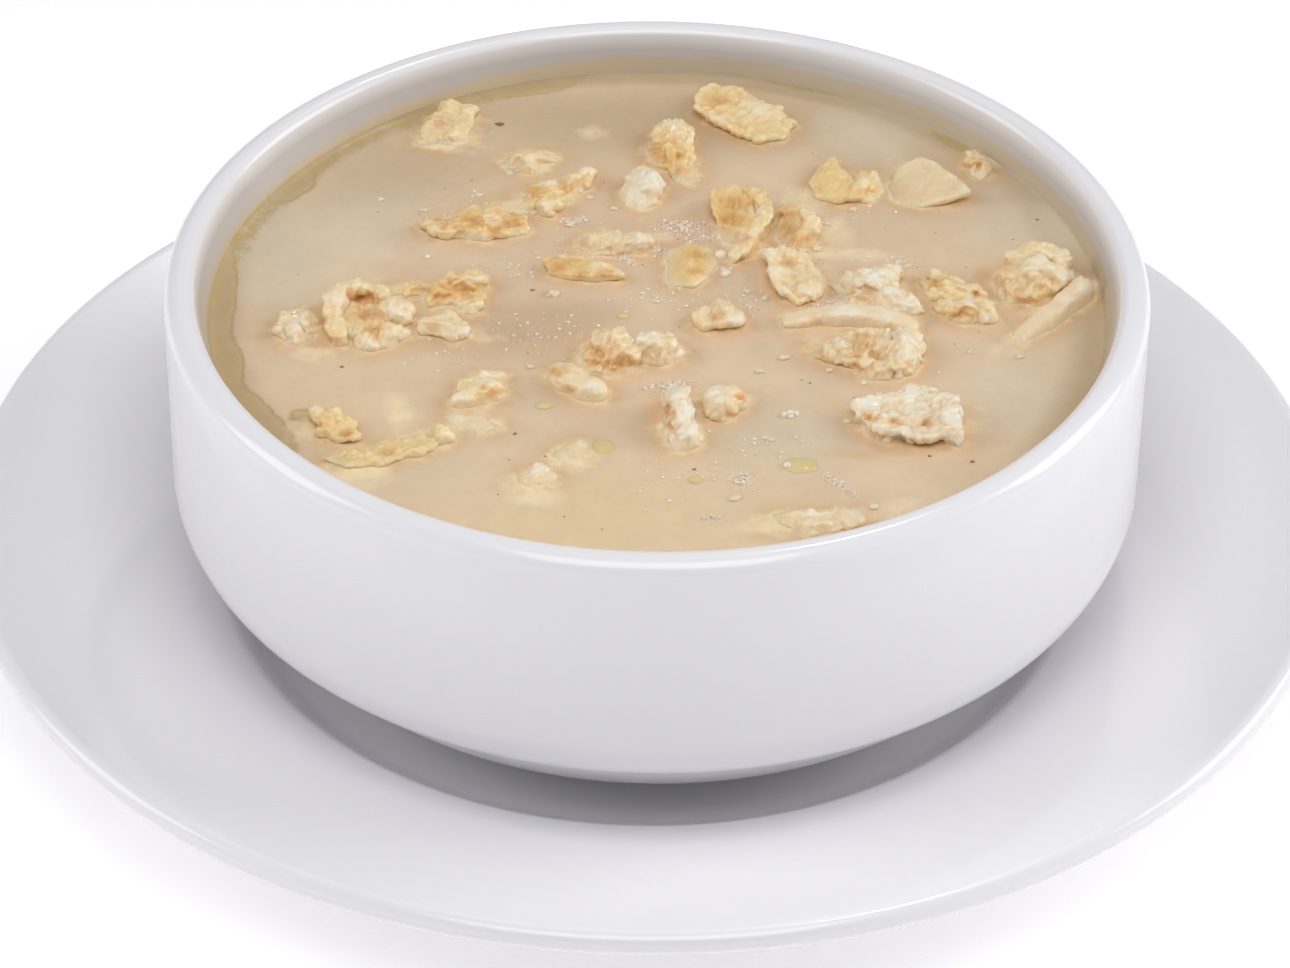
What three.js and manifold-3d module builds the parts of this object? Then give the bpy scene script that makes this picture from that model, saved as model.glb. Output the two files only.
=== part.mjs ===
// A porcelain bowl of creamy tripe soup on its underplate.
// Millimetres, +Z up. The origin is the middle of the underplate's underside, on the table.

import * as THREE from 'three';
import { mergeVertices } from 'three/addons/utils/BufferGeometryUtils.js';
import { SimplexNoise } from 'three/addons/math/SimplexNoise.js';
import Module from 'manifold-3d';

const wasm = await Module();
wasm.setup();

// Driving dimensions, mm

const PLATE_RADIUS = 92.6;
const PLATE_HEIGHT = 20;
const PLATE_LIP = 1.6;
const PLATE_WELL_RADIUS = 50;
const PLATE_WELL_FLOOR = 4.5;
const PLATE_SHOULDER_RADIUS = 57.5;
const PLATE_SHOULDER_HEIGHT = 9;
const PLATE_WALL = 3.6;
const PLATE_FOOT_RADIUS = 49;
const PLATE_FOOT_WIDTH = 4;
const PLATE_FOOT_HEIGHT = 1.4;

const BOWL_RADIUS = 65;
const BOWL_HEIGHT = 51.4;
const BOWL_OFF_CENTRE = 0.94;
const BOWL_RIM_OUTER_ROUND = 2.2;
const BOWL_RIM_INNER_ROUND = 1.4;
const BOWL_FOOT_RADIUS = 38.5;
const BOWL_FOOT_WIDTH = 4.5;
const BOWL_FOOT_HEIGHT = 1.6;
const BOWL_CORNER_ROUND = 8;
const BOWL_CORNER_BELOW_RIM = 28.7;
const BOWL_SLOPE_END_RADIUS = 51.6;
const BOWL_SLOPE_END_BELOW_RIM = 45.5;
const BOWL_BASE_WALL = 5.2;
const BOWL_INNER_RADIUS_AT_SOUP = 59.3;
const BOWL_INNER_RADIUS_AT_CORNER = 56.6;
const BOWL_INNER_ROUND = 15;

const SOUP_BELOW_RIM = 6.5;
const GAP = 0.3;

const TURNED_SEGMENTS = 48;

// Heights that follow from them

const BOWL_FLOOR = PLATE_WELL_FLOOR;
const BOWL_RIM = BOWL_FLOOR + BOWL_HEIGHT;
const SOUP_LEVEL = BOWL_RIM - SOUP_BELOW_RIM;
const BOWL_CORNER = BOWL_RIM - BOWL_CORNER_BELOW_RIM;
const HOLLOW_FLOOR = BOWL_FLOOR + BOWL_FOOT_HEIGHT + BOWL_BASE_WALL;
const SOUP_RADIUS = BOWL_INNER_RADIUS_AT_SOUP - GAP;

// Materials

const porcelain = new THREE.MeshStandardMaterial({ color: 0xf4f2f4, roughness: 0.12, metalness: 0 });
const creamBroth = new THREE.MeshStandardMaterial({ color: 0xdcc3a2, roughness: 0.3, metalness: 0 });
const cookedTripe = new THREE.MeshStandardMaterial({ color: 0xecd6a4, roughness: 0.42, metalness: 0 });

// Turned shapes

/** Points of a round corner about (r, z), from one angle to the other in degrees. */
function corner(r, z, radius, from, to, steps) {
  const points = [];
  for (let i = 0; i <= steps; i += 1) {
    const angle = THREE.MathUtils.degToRad(from + ((to - from) * i) / steps);
    points.push(new THREE.Vector2(r + radius * Math.cos(angle), z + radius * Math.sin(angle)));
  }
  return points;
}

/** A solid of revolution about Z from a profile of [radius, height] that starts and ends on the axis. */
function turned(profile) {
  const points = profile.map((p) => (p.isVector2 ? p : new THREE.Vector2(p[0], p[1])));
  return new THREE.LatheGeometry(points, TURNED_SEGMENTS).rotateX(Math.PI / 2);
}

/** The underplate: a foot ring, a level well with a crisp edge, and a sloped rim with a round lip. */
function underplate() {
  const lipRadius = PLATE_RADIUS - PLATE_LIP;
  const lipHeight = PLATE_HEIGHT - PLATE_LIP;
  const footInner = PLATE_FOOT_RADIUS - PLATE_FOOT_WIDTH;
  const footTaper = 0.7;
  const shoulderRound = 3;
  const riseOutside = 0.9;
  const wellRound = 4.2;
  const wellRise = 1.1;
  return turned([
    [0, PLATE_FOOT_HEIGHT],
    [footInner - footTaper, PLATE_FOOT_HEIGHT],
    [footInner, 0],
    [PLATE_FOOT_RADIUS, 0],
    [PLATE_FOOT_RADIUS + footTaper, PLATE_FOOT_HEIGHT],
    [PLATE_SHOULDER_RADIUS + shoulderRound, PLATE_SHOULDER_HEIGHT - PLATE_WALL],
    ...corner(lipRadius, lipHeight, PLATE_LIP, -75, 105, 6),
    [PLATE_SHOULDER_RADIUS + shoulderRound, PLATE_SHOULDER_HEIGHT + riseOutside],
    [PLATE_SHOULDER_RADIUS, PLATE_SHOULDER_HEIGHT],
    [PLATE_WELL_RADIUS + wellRound, PLATE_WELL_FLOOR + wellRise],
    [PLATE_WELL_RADIUS, PLATE_WELL_FLOOR],
    [0, PLATE_WELL_FLOOR],
  ]);
}

/** The bowl: a foot ring, a shallow base, a sloped and rounded corner, an upright wall and a rolled rim. */
function soupBowl() {
  const rimOuter = BOWL_RADIUS - BOWL_RIM_OUTER_ROUND;
  const rimFlat = 0.6;
  const rimInner = rimOuter - rimFlat;
  const footInner = BOWL_FOOT_RADIUS - BOWL_FOOT_WIDTH;
  const footTaper = 0.8;
  return turned([
    [0, BOWL_FLOOR + BOWL_FOOT_HEIGHT],
    [footInner - footTaper, BOWL_FLOOR + BOWL_FOOT_HEIGHT],
    [footInner, BOWL_FLOOR],
    [BOWL_FOOT_RADIUS, BOWL_FLOOR],
    [BOWL_FOOT_RADIUS + footTaper, BOWL_FLOOR + BOWL_FOOT_HEIGHT],
    [BOWL_SLOPE_END_RADIUS, BOWL_RIM - BOWL_SLOPE_END_BELOW_RIM],
    ...corner(BOWL_RADIUS - BOWL_CORNER_ROUND, BOWL_CORNER, BOWL_CORNER_ROUND, -45, 0, 3),
    ...corner(rimOuter, BOWL_RIM - BOWL_RIM_OUTER_ROUND, BOWL_RIM_OUTER_ROUND, 0, 90, 4),
    ...corner(rimInner, BOWL_RIM - BOWL_RIM_INNER_ROUND, BOWL_RIM_INNER_ROUND, 90, 160, 3),
    [BOWL_INNER_RADIUS_AT_SOUP, SOUP_LEVEL],
    ...bowlHollow(0).reverse(),
    [0, HOLLOW_FLOOR],
  ]);
}

/** The round between the bowl's floor and its inner wall, drawn in by the given clearance. */
function bowlHollow(clearance) {
  const radius = BOWL_INNER_ROUND - clearance;
  const centre = [BOWL_INNER_RADIUS_AT_CORNER - BOWL_INNER_ROUND, HOLLOW_FLOOR + BOWL_INNER_ROUND];
  return corner(...centre, radius, -78, 0, 5);
}

// Meshes and solids

/** A closed mesh as a solid that can be cut and joined. */
function toSolid(geometry) {
  const bare = geometry.clone();
  bare.deleteAttribute('normal');
  bare.deleteAttribute('uv');
  const mergeDistance = 1e-4;
  const merged = mergeVertices(bare, mergeDistance);
  const index = merged.index.array;
  const kept = [];
  for (let i = 0; i < index.length; i += 3) {
    const [a, b, c] = [index[i], index[i + 1], index[i + 2]];
    if (a !== b && b !== c && c !== a) {
      kept.push(a, b, c);
    }
  }
  const mesh = new wasm.Mesh({
    numProp: 3,
    vertProperties: new Float32Array(merged.attributes.position.array),
    triVerts: new Uint32Array(kept),
  });
  return new wasm.Manifold(mesh);
}

/** A solid back as a geometry for a mesh. */
function toGeometry(solid) {
  const mesh = solid.getMesh();
  const geometry = new THREE.BufferGeometry();
  geometry.setAttribute('position', new THREE.BufferAttribute(mesh.vertProperties, 3));
  geometry.setIndex(new THREE.BufferAttribute(mesh.triVerts, 1));
  geometry.computeVertexNormals();
  return geometry;
}

// Tripe: flakes, ribbons and lumps, placed from the bowl's axis, with heights from the soup's surface

/** A smooth noise from -1 to 1 that is the same each time for one seed. */
function noiseFor(seed) {
  THREE.MathUtils.seededRandom(seed);
  const noise = new SimplexNoise({ random: () => THREE.MathUtils.seededRandom() });
  return (x, y, z) => noise.noise3d(x, y, z);
}

/**
 * A flake: a thin cushion inside an outline. tilt and rim are [direction in degrees, rise in mm]: a tilt
 * lifts that side, a rim turns that edge up, and a rim with no direction turns the whole edge up. folds is
 * [direction, number of waves, depth in mm].
 */
function flake({ outline, height, thick, tilt = [0, 0], rim = [null, 0], folds = [0, 0, 0], seed }) {
  const spacing = 3.9;
  const rings = 5;
  const widestRing = Math.cos(Math.PI / (2 * rings));
  const noise = noiseFor(seed);
  const corners = outline.map(([x, y]) => new THREE.Vector3(x, y, 0));
  if (THREE.ShapeUtils.area(corners) < 0) {
    corners.reverse();
  }
  const edge = new THREE.CatmullRomCurve3(corners, true, 'catmullrom', 0.35);
  const around = THREE.MathUtils.clamp(Math.round(edge.getLength() / spacing), 8, 13);
  const edgePoints = edge.getSpacedPoints(around);
  const middle = edgePoints.slice(0, around).reduce((sum, p) => sum.add(p), new THREE.Vector3());
  middle.divideScalar(around);
  const reach = Math.max(...edgePoints.map((p) => p.distanceTo(middle)));
  const geometry = new THREE.SphereGeometry(1, around, rings).rotateX(Math.PI / 2);
  const position = geometry.attributes.position;
  const along = (p, degrees) => {
    const angle = THREE.MathUtils.degToRad(degrees);
    return ((p.x - middle.x) * Math.cos(angle) + (p.y - middle.y) * Math.sin(angle)) / reach;
  };
  for (let i = 0; i < position.count; i += 1) {
    const out = Math.hypot(position.getX(i), position.getY(i)) / widestRing;
    const p = middle.clone().lerp(edgePoints[i % (around + 1)], out);
    const wave = Math.sin(Math.PI * folds[1] * along(p, folds[0]) + seed);
    const turnedUp = rim[0] === null ? 1 : THREE.MathUtils.clamp(0.5 + along(p, rim[0]), 0, 1);
    const bump = noise(p.x / 4, p.y / 4, 0) * thick * 0.22;
    const half = (thick / 2) * position.getZ(i) * (1 + 0.3 * noise(p.x / 3, p.y / 3, 5));
    const z = height + tilt[1] * along(p, tilt[0]) + rim[1] * turnedUp * out ** 3 + folds[2] * wave + bump;
    position.setXYZ(i, p.x, p.y, z + half);
  }
  return toSolid(geometry);
}

/**
 * A ribbon on edge along a curve in plan. Its height swells from its ends to the middle: top is
 * [height at the start, in the middle, at the end]. lean moves the upper edge to the right as it runs.
 */
function ribbon({ path, top, foot = -1.4, thick, footThick = thick, lean = 0, seed }) {
  const steps = 7;
  const noise = noiseFor(seed);
  const route = new THREE.CatmullRomCurve3(path.map(([x, y]) => new THREE.Vector3(x, y, 0)));
  const length = route.getLength();
  const geometry = new THREE.BoxGeometry(length, 1, 1, steps, 2, 1);
  const position = geometry.attributes.position;
  for (let i = 0; i < position.count; i += 1) {
    const u = THREE.MathUtils.clamp(position.getX(i) / length + 0.5, 0, 1);
    const v = position.getY(i) + 0.5;
    const at = route.getPointAt(u);
    const tangent = route.getTangentAt(u);
    const swell = u < 0.5
      ? THREE.MathUtils.lerp(top[0], top[1], Math.sin(Math.PI * u))
      : THREE.MathUtils.lerp(top[2], top[1], Math.sin(Math.PI * u));
    const crest = swell * (1 + 0.16 * noise(at.x / 2.5, at.y / 2.5, 1));
    const width = THREE.MathUtils.lerp(footThick, thick, v);
    const side = position.getZ(i) * width + lean * v * v + 0.25 * noise(at.x / 3, at.y / 3, v);
    const z = THREE.MathUtils.lerp(foot, crest, v);
    position.setXYZ(i, at.x + tangent.y * side, at.y - tangent.x * side, z);
  }
  return toSolid(geometry);
}

/** A lump: a bumpy ball squeezed to half sizes [along, across, up], its long way turned in degrees. */
function lump({ at, height = 0, half, turn = 0, bumps = 0.16, seed }) {
  const large = 4;
  const detail = Math.max(...half) >= large ? 2 : 1;
  const noise = noiseFor(seed);
  const geometry = new THREE.IcosahedronGeometry(1, detail);
  const position = geometry.attributes.position;
  const p = new THREE.Vector3();
  for (let i = 0; i < position.count; i += 1) {
    p.fromBufferAttribute(position, i);
    const swell = 1 + bumps * noise(p.x * half[0] / 1.6, p.y * half[1] / 1.6, p.z * half[2] / 1.6);
    position.setXYZ(i, p.x * half[0] * swell, p.y * half[1] * swell, p.z * half[2] * swell);
  }
  geometry.rotateZ(THREE.MathUtils.degToRad(turn));
  geometry.translate(at[0], at[1], height);
  return toSolid(geometry);
}

/** The pocket that the soup leaves round the sunk part of a piece: an upright hole that just clears it. */
function pocket(solid) {
  const sides = 10;
  const above = GAP;
  const opening = 3;
  const sunk = solid.trimByPlane([0, 0, -1], -above).getMesh().vertProperties;
  const reach = new Array(sides).fill(-Infinity);
  let low = 0;
  for (let i = 0; i < sunk.length; i += 3) {
    low = Math.min(low, sunk[i + 2]);
    for (let k = 0; k < sides; k += 1) {
      const angle = (2 * Math.PI * k) / sides;
      reach[k] = Math.max(reach[k], sunk[i] * Math.cos(angle) + sunk[i + 1] * Math.sin(angle) + GAP);
    }
  }
  const outline = reach.map((here, k) => {
    const next = reach[(k + 1) % sides];
    const step = (2 * Math.PI) / sides;
    const past = (next - here * Math.cos(step)) / Math.sin(step);
    const angle = step * k;
    return new THREE.Vector2(
      here * Math.cos(angle) - past * Math.sin(angle),
      here * Math.sin(angle) + past * Math.cos(angle),
    );
  });
  const depth = opening - low + GAP;
  const hole = new THREE.ExtrudeGeometry(new THREE.Shape(outline), { depth, bevelEnabled: false });
  return toSolid(hole.translate(0, 0, low - GAP));
}

// Every piece that stands out of the soup, from the back of the bowl to the front

const TRIPE = {
  tripe_flake_by_back_rim: {
    flakes: [{
      outline: [[-33, 40], [-29, 38.5], [-26.5, 43], [-26, 48.6], [-29.5, 49.8], [-32.5, 46]],
      height: 0.4, thick: 1.7, tilt: [95, 1.1], folds: [85, 4.4, 0.5], seed: 11,
    }],
  },
  tripe_flake_back: {
    flakes: [{
      outline: [[5.5, 54.2], [11.5, 53.8], [15.5, 50], [19.3, 45.2], [14, 41.2], [8, 44.8], [5, 48.3]],
      height: 0.45, thick: 1.7, rim: [175, 1.1], folds: [40, 1.6, 0.25], seed: 12,
    }],
  },
  tripe_chunk_back: {
    flakes: [{
      outline: [[-1.8, 40.8], [3.4, 42], [5, 36.5], [5, 30.4], [3.2, 30.6], [-0.8, 36]],
      height: 0.5, thick: 2, tilt: [90, 0.8], folds: [80, 3, 0.4], seed: 13,
    }],
    lumps: [{ at: [1.6, 42], height: 0.8, half: [2.8, 2.9, 1.9], bumps: 0.3, seed: 14 }],
  },
  tripe_scrap_back_left: {
    flakes: [{
      outline: [[-22, 35.8], [-18.5, 33], [-14.6, 35.3], [-14.2, 38.4], [-18, 38.4]],
      height: -0.1, thick: 1.5, folds: [20, 3, 0.5], seed: 15,
    }],
  },
  tripe_sliver_by_right_rim: {
    flakes: [{
      outline: [[43.2, 33.6], [45.5, 33.9], [45.5, 36], [44, 38], [42.7, 39], [42.7, 36.4]],
      height: 0.5, thick: 1.7, tilt: [60, 0.6], seed: 16,
    }],
  },
  tripe_leaf_back: {
    flakes: [{
      outline: [[-5, 28.4], [-3.6, 31.2], [-1, 32.4], [0.6, 30], [0, 26.4], [-2, 24], [-4.5, 25.4]],
      height: 0.7, thick: 1.8, tilt: [70, 1.1], seed: 17,
    }],
    lumps: [{ at: [-1.1, 28.8], height: 1.1, half: [1.5, 2.9, 1.5], turn: -8, seed: 18 }],
  },
  tripe_flake_right_back: {
    flakes: [
      {
        outline: [[20.6, 28.8], [22, 33.8], [23.7, 37], [25.3, 33.4], [28.2, 27], [24.5, 26]],
        height: 0.6, thick: 1.5, tilt: [100, 0.5], rim: [-20, 0.6], seed: 19,
      },
      {
        outline: [[26.7, 32.6], [29, 34], [30.4, 31.6], [30.2, 28.2], [28.6, 26.4], [26, 27.4]],
        height: 0.6, thick: 1.5, folds: [60, 3, 0.6], seed: 20,
      },
    ],
  },
  tripe_sheet_right_back: {
    flakes: [{
      outline: [[32, 32.4], [35.4, 36.2], [37.8, 35.6], [42.6, 27.7], [40.8, 26.2], [35.4, 26], [32.4, 27.4]],
      height: 0, thick: 1.6, rim: [35, 1.2], seed: 21,
    }],
  },
  tripe_strip_left_back: {
    flakes: [{
      outline: [[-32, 19], [-31, 17], [-24, 16.6], [-17.6, 17.6], [-16.8, 19.6], [-20.5, 22.4], [-27, 22.2]],
      height: 0.4, thick: 1.9, folds: [10, 6, 0.6], seed: 22,
    }],
    lumps: [{ at: [-21.8, 20.2], height: 0.9, half: [1.9, 1.4, 1.4], seed: 23 }],
  },
  tripe_strip_back: {
    flakes: [{
      outline: [[-19.3, 26.6], [-17.6, 28.4], [-13, 31], [-9.2, 32.8], [-8.8, 31.4], [-12, 27], [-15, 23.2],
        [-18.4, 24.6]],
      height: 0.5, thick: 1.9, folds: [45, 5, 0.5], seed: 24,
    }],
    lumps: [{ at: [-15, 23.7], height: 0.6, half: [1.3, 1.2, 1.3], seed: 25 }],
  },
  tripe_curl_centre: {
    flakes: [{
      outline: [[7, 24.8], [8.6, 27.4], [11.6, 26.8], [13.3, 22.5], [12.4, 16.6], [10.2, 14.4], [8.2, 18]],
      height: 0.5, thick: 1.8, tilt: [95, 1.5], rim: [120, 0.7], seed: 26,
    }],
    ribbons: [{
      path: [[9.6, 27.6], [12.4, 26.2], [14.1, 22.5], [13.6, 17.6], [11.6, 14], [9.6, 12.4]],
      top: [1.2, 3.4, 1], thick: 1.5, lean: -0.5, seed: 27,
    }],
  },
  tripe_curl_right_of_centre: {
    flakes: [{
      outline: [[16.5, 22.4], [18.6, 22.4], [20.6, 18.8], [19, 15.4], [17, 15.2], [16.3, 18.6]],
      height: 0.3, thick: 1.6, tilt: [60, 1.1], seed: 28,
    }],
    ribbons: [{
      path: [[17, 23.3], [19.3, 22], [20.9, 18.6], [19.8, 15.8], [17.6, 14.8]],
      top: [1.4, 2.7, 1], thick: 1.6, seed: 29,
    }],
  },
  tripe_scrap_centre: {
    flakes: [{
      outline: [[-11.8, 15.2], [-9, 17.4], [-4.6, 17.5], [-3, 15.6], [-4, 13.2], [-9, 12.9]],
      height: 0.3, thick: 1.7, tilt: [10, 0.4], seed: 30,
    }],
    lumps: [{ at: [-2.7, 15.1], height: 0.7, half: [1.6, 1.8, 1.6], seed: 31 }],
  },
  tripe_strip_centre: {
    flakes: [{
      outline: [[-15.8, 10], [-14.4, 11.2], [-9, 9.6], [-4.4, 7.7], [-4.8, 6.6], [-10, 6.6], [-14.4, 7.8]],
      height: 0.5, thick: 1.9, rim: [75, 1], seed: 32,
    }],
  },
  tripe_patch_centre: {
    flakes: [{
      outline: [[1.7, 14.4], [6.8, 14.8], [8, 12.6], [6.5, 8.4], [5.5, 5.4], [2, 6], [1.5, 10]],
      height: 0, thick: 1.6, folds: [0, 2, 0.45], seed: 33,
    }],
  },
  tripe_flake_right_of_centre: {
    flakes: [{
      outline: [[14.2, 12.7], [17, 13.2], [20.4, 11.2], [22, 7.4], [21.8, 3.2], [19, 0.9], [16.6, 1.7],
        [15, 7.4]],
      height: 0.3, thick: 1.8, rim: [180, 1.6], folds: [60, 2, 0.3], seed: 34,
    }],
    lumps: [{ at: [20, 3.6], height: 0.7, half: [1.9, 1.5, 1.2], turn: 30, bumps: 0.3, seed: 35 }],
  },
  tripe_crumple_right: {
    flakes: [{
      outline: [[23.6, 7.6], [27, 8.6], [31, 6], [34.4, 1.5], [34.8, -0.2], [31.5, 0.3], [26.8, 1.2],
        [24, 2.4]],
      height: 0.4, thick: 1.9, folds: [-30, 4, 0.4], seed: 36,
    }],
    lumps: [
      { at: [29.2, 6.1], height: 0.9, half: [3.2, 2.4, 2], turn: 10, bumps: 0.4, seed: 37 },
      { at: [32, 2], height: 0.6, half: [3.4, 1.3, 1.4], turn: -35, bumps: 0.3, seed: 38 },
    ],
  },
  tripe_crumple_far_right: {
    flakes: [{
      outline: [[34.9, 7.6], [37.4, 8.6], [41, 5.8], [44.4, 3.4], [44, 1.6], [40, 1.2], [36.4, 3.6]],
      height: 0.5, thick: 1.9, folds: [-20, 3, 0.5], seed: 39,
    }],
    lumps: [
      { at: [40.6, -0.3], height: 0.5, half: [3.6, 1.9, 1.6], turn: -14, seed: 40 },
      { at: [43.5, -0.9], height: 0.8, half: [1.2, 1.6, 1.4], seed: 41 },
    ],
  },
  tripe_chunk_by_right_rim: {
    lumps: [
      { at: [50.1, 6.3], height: 0.2, half: [5, 4.5, 4], turn: 15, bumps: 0.22, seed: 42 },
      { at: [53, 5.5], height: 0.4, half: [3.1, 1.9, 2.2], turn: 35, bumps: 0.2, seed: 43 },
    ],
    ribbons: [{
      path: [[46.4, 8.2], [49.6, 10], [53.4, 9.6], [54.9, 8]],
      top: [2.4, 4.4, 3], thick: 1.9, seed: 44,
    }],
  },
  tripe_strip_by_right_rim: {
    ribbons: [{
      path: [[57.1, 4.4], [54.6, 1.2], [51.4, -2.4], [48.2, -5.6]],
      top: [2.2, 1.2, 0.1], foot: -1.8, thick: 1.5, footThick: 2.2, lean: 0.5, seed: 45,
    }],
  },
  tripe_roll_left: {
    flakes: [{
      outline: [[-41.4, -1.4], [-38.4, 1], [-35.6, -1.4], [-35.8, -6.6], [-38.6, -8], [-41.2, -7]],
      height: 0.5, thick: 1.8, seed: 46,
    }],
    ribbons: [
      {
        path: [[-41.4, -8.8], [-42.7, -4.4], [-41.9, -0.4], [-38.9, 1.5], [-35.8, 0.4]],
        top: [1.6, 3.2, 2], thick: 1.5, seed: 47,
      },
    ],
    lumps: [
      { at: [-34.8, -3], height: 0.7, half: [2.2, 1.8, 2], turn: 20, bumps: 0.3, seed: 48 },
      { at: [-36.2, -7.9], height: 0.4, half: [3.1, 1.6, 1.6], turn: 18, bumps: 0.3, seed: 49 },
    ],
  },
  tripe_fold_left: {
    flakes: [
      {
        outline: [[-36, 4.4], [-32.4, 5], [-29.6, 4.6], [-29.8, 2.6], [-33.4, 2.6]],
        height: 0.2, thick: 1.6, seed: 50,
      },
      {
        outline: [[-26.8, 2.2], [-22.9, 2.5], [-23.3, -0.8], [-25.6, -0.9]],
        height: 0.3, thick: 1.6, tilt: [20, 0.4], seed: 51,
      },
    ],
    lumps: [
      { at: [-27.4, 3.2], height: 0.5, half: [4.1, 2.3, 1.9], turn: 36, bumps: 0.12, seed: 52 },
      { at: [-24.4, 5], height: 0.7, half: [1.5, 1.8, 1.6], seed: 53 },
    ],
  },
  tripe_scrap_far_left: {
    flakes: [{
      outline: [[-50, -4.2], [-47.5, -2.4], [-45.1, -3.8], [-44.9, -7], [-47.5, -8.6], [-49.8, -7.2]],
      height: 0.1, thick: 1.6, folds: [20, 3, 0.5], seed: 54,
    }],
  },
  tripe_flake_left_of_centre: {
    flakes: [{
      outline: [[-31.4, -5.6], [-30, -2.6], [-27.4, -2.6], [-24.6, -5.6], [-25.6, -7.8], [-29, -7.2]],
      height: 0.1, thick: 1.6, rim: [-20, 0.5], seed: 55,
    }],
  },
  tripe_ridge_right: {
    ribbons: [{
      path: [[17, -2.6], [21, -2], [25.6, -1.9], [30, -2.5], [33.8, -4.1]],
      top: [0.4, 1.3, 0.6], foot: -1.6, thick: 1.6, footThick: 2, seed: 56,
    }],
  },
  tripe_fold_right: {
    flakes: [{
      outline: [[20, -10], [24, -6.6], [28.5, -5.8], [31.4, -6.6], [32, -11], [30, -15.2], [25, -13.4],
        [21.8, -12.2]],
      height: 0.6, thick: 2.1, folds: [75, 3.4, 0.6], tilt: [0, 0.5], seed: 57,
    }],
    lumps: [
      { at: [32.2, -10.8], height: 0.7, half: [2.1, 4.6, 2.5], turn: -8, bumps: 0.2, seed: 58 },
      { at: [27.4, -13], height: 0.5, half: [4, 1.7, 1.7], turn: -30, bumps: 0.2, seed: 59 },
    ],
  },
  tripe_wedge_centre: {
    flakes: [{
      outline: [[4.8, -2.4], [6.8, 0.2], [8, 1.2], [10.6, -2], [9.4, -4.6], [6, -4.6]],
      height: 0.7, thick: 1.8, rim: [0, 0.7], seed: 60,
    }],
    lumps: [{ at: [9.4, -2.4], height: 0.8, half: [1.3, 2, 1.3], turn: 25, seed: 61 }],
  },
  tripe_chunk_centre: {
    lumps: [
      { at: [-6, -11.2], height: 0.2, half: [4.2, 4.1, 3.5], bumps: 0.16, seed: 62 },
      { at: [-0.3, -10.2], height: 0.4, half: [3.6, 2.4, 2.5], turn: 8, bumps: 0.34, seed: 63 },
    ],
  },
  tripe_bean_centre: {
    lumps: [
      { at: [-10.9, -17.2], height: 0.2, half: [4, 2.1, 2.2], turn: -46, bumps: 0.1, seed: 64 },
      { at: [-8.4, -19.4], height: 0.3, half: [1.9, 1.7, 1.9], bumps: 0.1, seed: 65 },
    ],
  },
  tripe_twin_lobes_left: {
    lumps: [
      { at: [-22.4, -17.6], height: 0.3, half: [3.2, 1.4, 1.5], turn: 24, bumps: 0.2, seed: 66 },
      { at: [-23, -20.4], height: 0.3, half: [3.9, 1.8, 1.8], turn: 28, bumps: 0.1, seed: 67 },
    ],
  },
  tripe_wedge_front: {
    ribbons: [{
      path: [[2.6, -21.4], [3.2, -26], [4.2, -31.2]],
      top: [2, 4.4, 0.6], foot: -1.6, thick: 1.3, footThick: 4.6, lean: 0.4, seed: 68,
    }],
  },
  tripe_knob_front: {
    lumps: [{ at: [8.9, -22.2], height: 0.2, half: [2.6, 2.3, 2], turn: 20, bumps: 0.32, seed: 69 }],
  },
  tripe_cup_front_right: {
    flakes: [{
      outline: [[25.2, -22.8], [28.5, -21.4], [33.5, -20.4], [37.6, -21.8], [38.6, -25.5], [38.4, -29.8],
        [34.5, -30.4], [29.5, -29.8], [26, -27]],
      height: 0.3, thick: 2.1, rim: [null, 1.6], folds: [30, 3, 0.3], seed: 70,
    }],
    ribbons: [
      { path: [[37.2, -21.6], [38, -25.4], [37.6, -29.6]], top: [2.4, 3.2, 2], thick: 1.8, seed: 71 },
      { path: [[26.6, -22.6], [27.6, -25.6], [30.4, -28.8]], top: [1.8, 2.6, 1.4], thick: 1.7, seed: 72 },
    ],
    lumps: [{ at: [33.9, -20.8], height: 0.8, half: [2.4, 1.5, 1.6], turn: -15, bumps: 0.3, seed: 73 }],
  },
  tripe_ear_front_left: {
    flakes: [{
      outline: [[-44.4, -24.8], [-42.6, -24.8], [-39, -28.2], [-37.6, -30.2], [-40, -31.4], [-42.8, -30.2]],
      height: 0.8, thick: 2, tilt: [120, 0.4], rim: [20, 0.8], seed: 74,
    }],
  },
  tripe_strip_front_left: {
    flakes: [{
      outline: [[-42, -34.8], [-37, -32.8], [-31, -30.3], [-27, -28.8], [-26.2, -30.2], [-29, -32.5],
        [-34, -35.2], [-39, -36.6]],
      height: 0, thick: 1.5, folds: [25, 3, 0.3], seed: 75,
    }],
    lumps: [{ at: [-27, -30], height: 0.4, half: [1.2, 1.2, 1.2], seed: 76 }],
  },
  tripe_sliver_front_left: {
    flakes: [{
      outline: [[-27, -25], [-22, -25.2], [-20, -27.4], [-24, -28]],
      height: -0.35, thick: 1.3, tilt: [150, 0.2], seed: 77,
    }],
  },
  tripe_scrap_front: {
    flakes: [{
      outline: [[-17.5, -37.6], [-15, -36.2], [-12.8, -37.2], [-13, -39.4], [-16, -39.8]],
      height: -0.3, thick: 1.5, tilt: [70, 0.4], seed: 78,
    }],
  },
  tripe_corner_front: {
    flakes: [{
      outline: [[-13.6, -33.4], [-9.4, -30.3], [-8.7, -32.2], [-9.6, -34]],
      height: -0.25, thick: 1.2, tilt: [60, 0.3], seed: 79,
    }],
  },
  tripe_sheet_front: {
    flakes: [{
      outline: [[14.5, -46.2], [18, -45], [23, -44.8], [26.8, -45.2], [25, -47.6], [19.5, -49.2]],
      height: -0.1, thick: 1.4, tilt: [-20, 0.25], folds: [15, 4, 0.25], seed: 80,
    }],
  },
};

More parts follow.
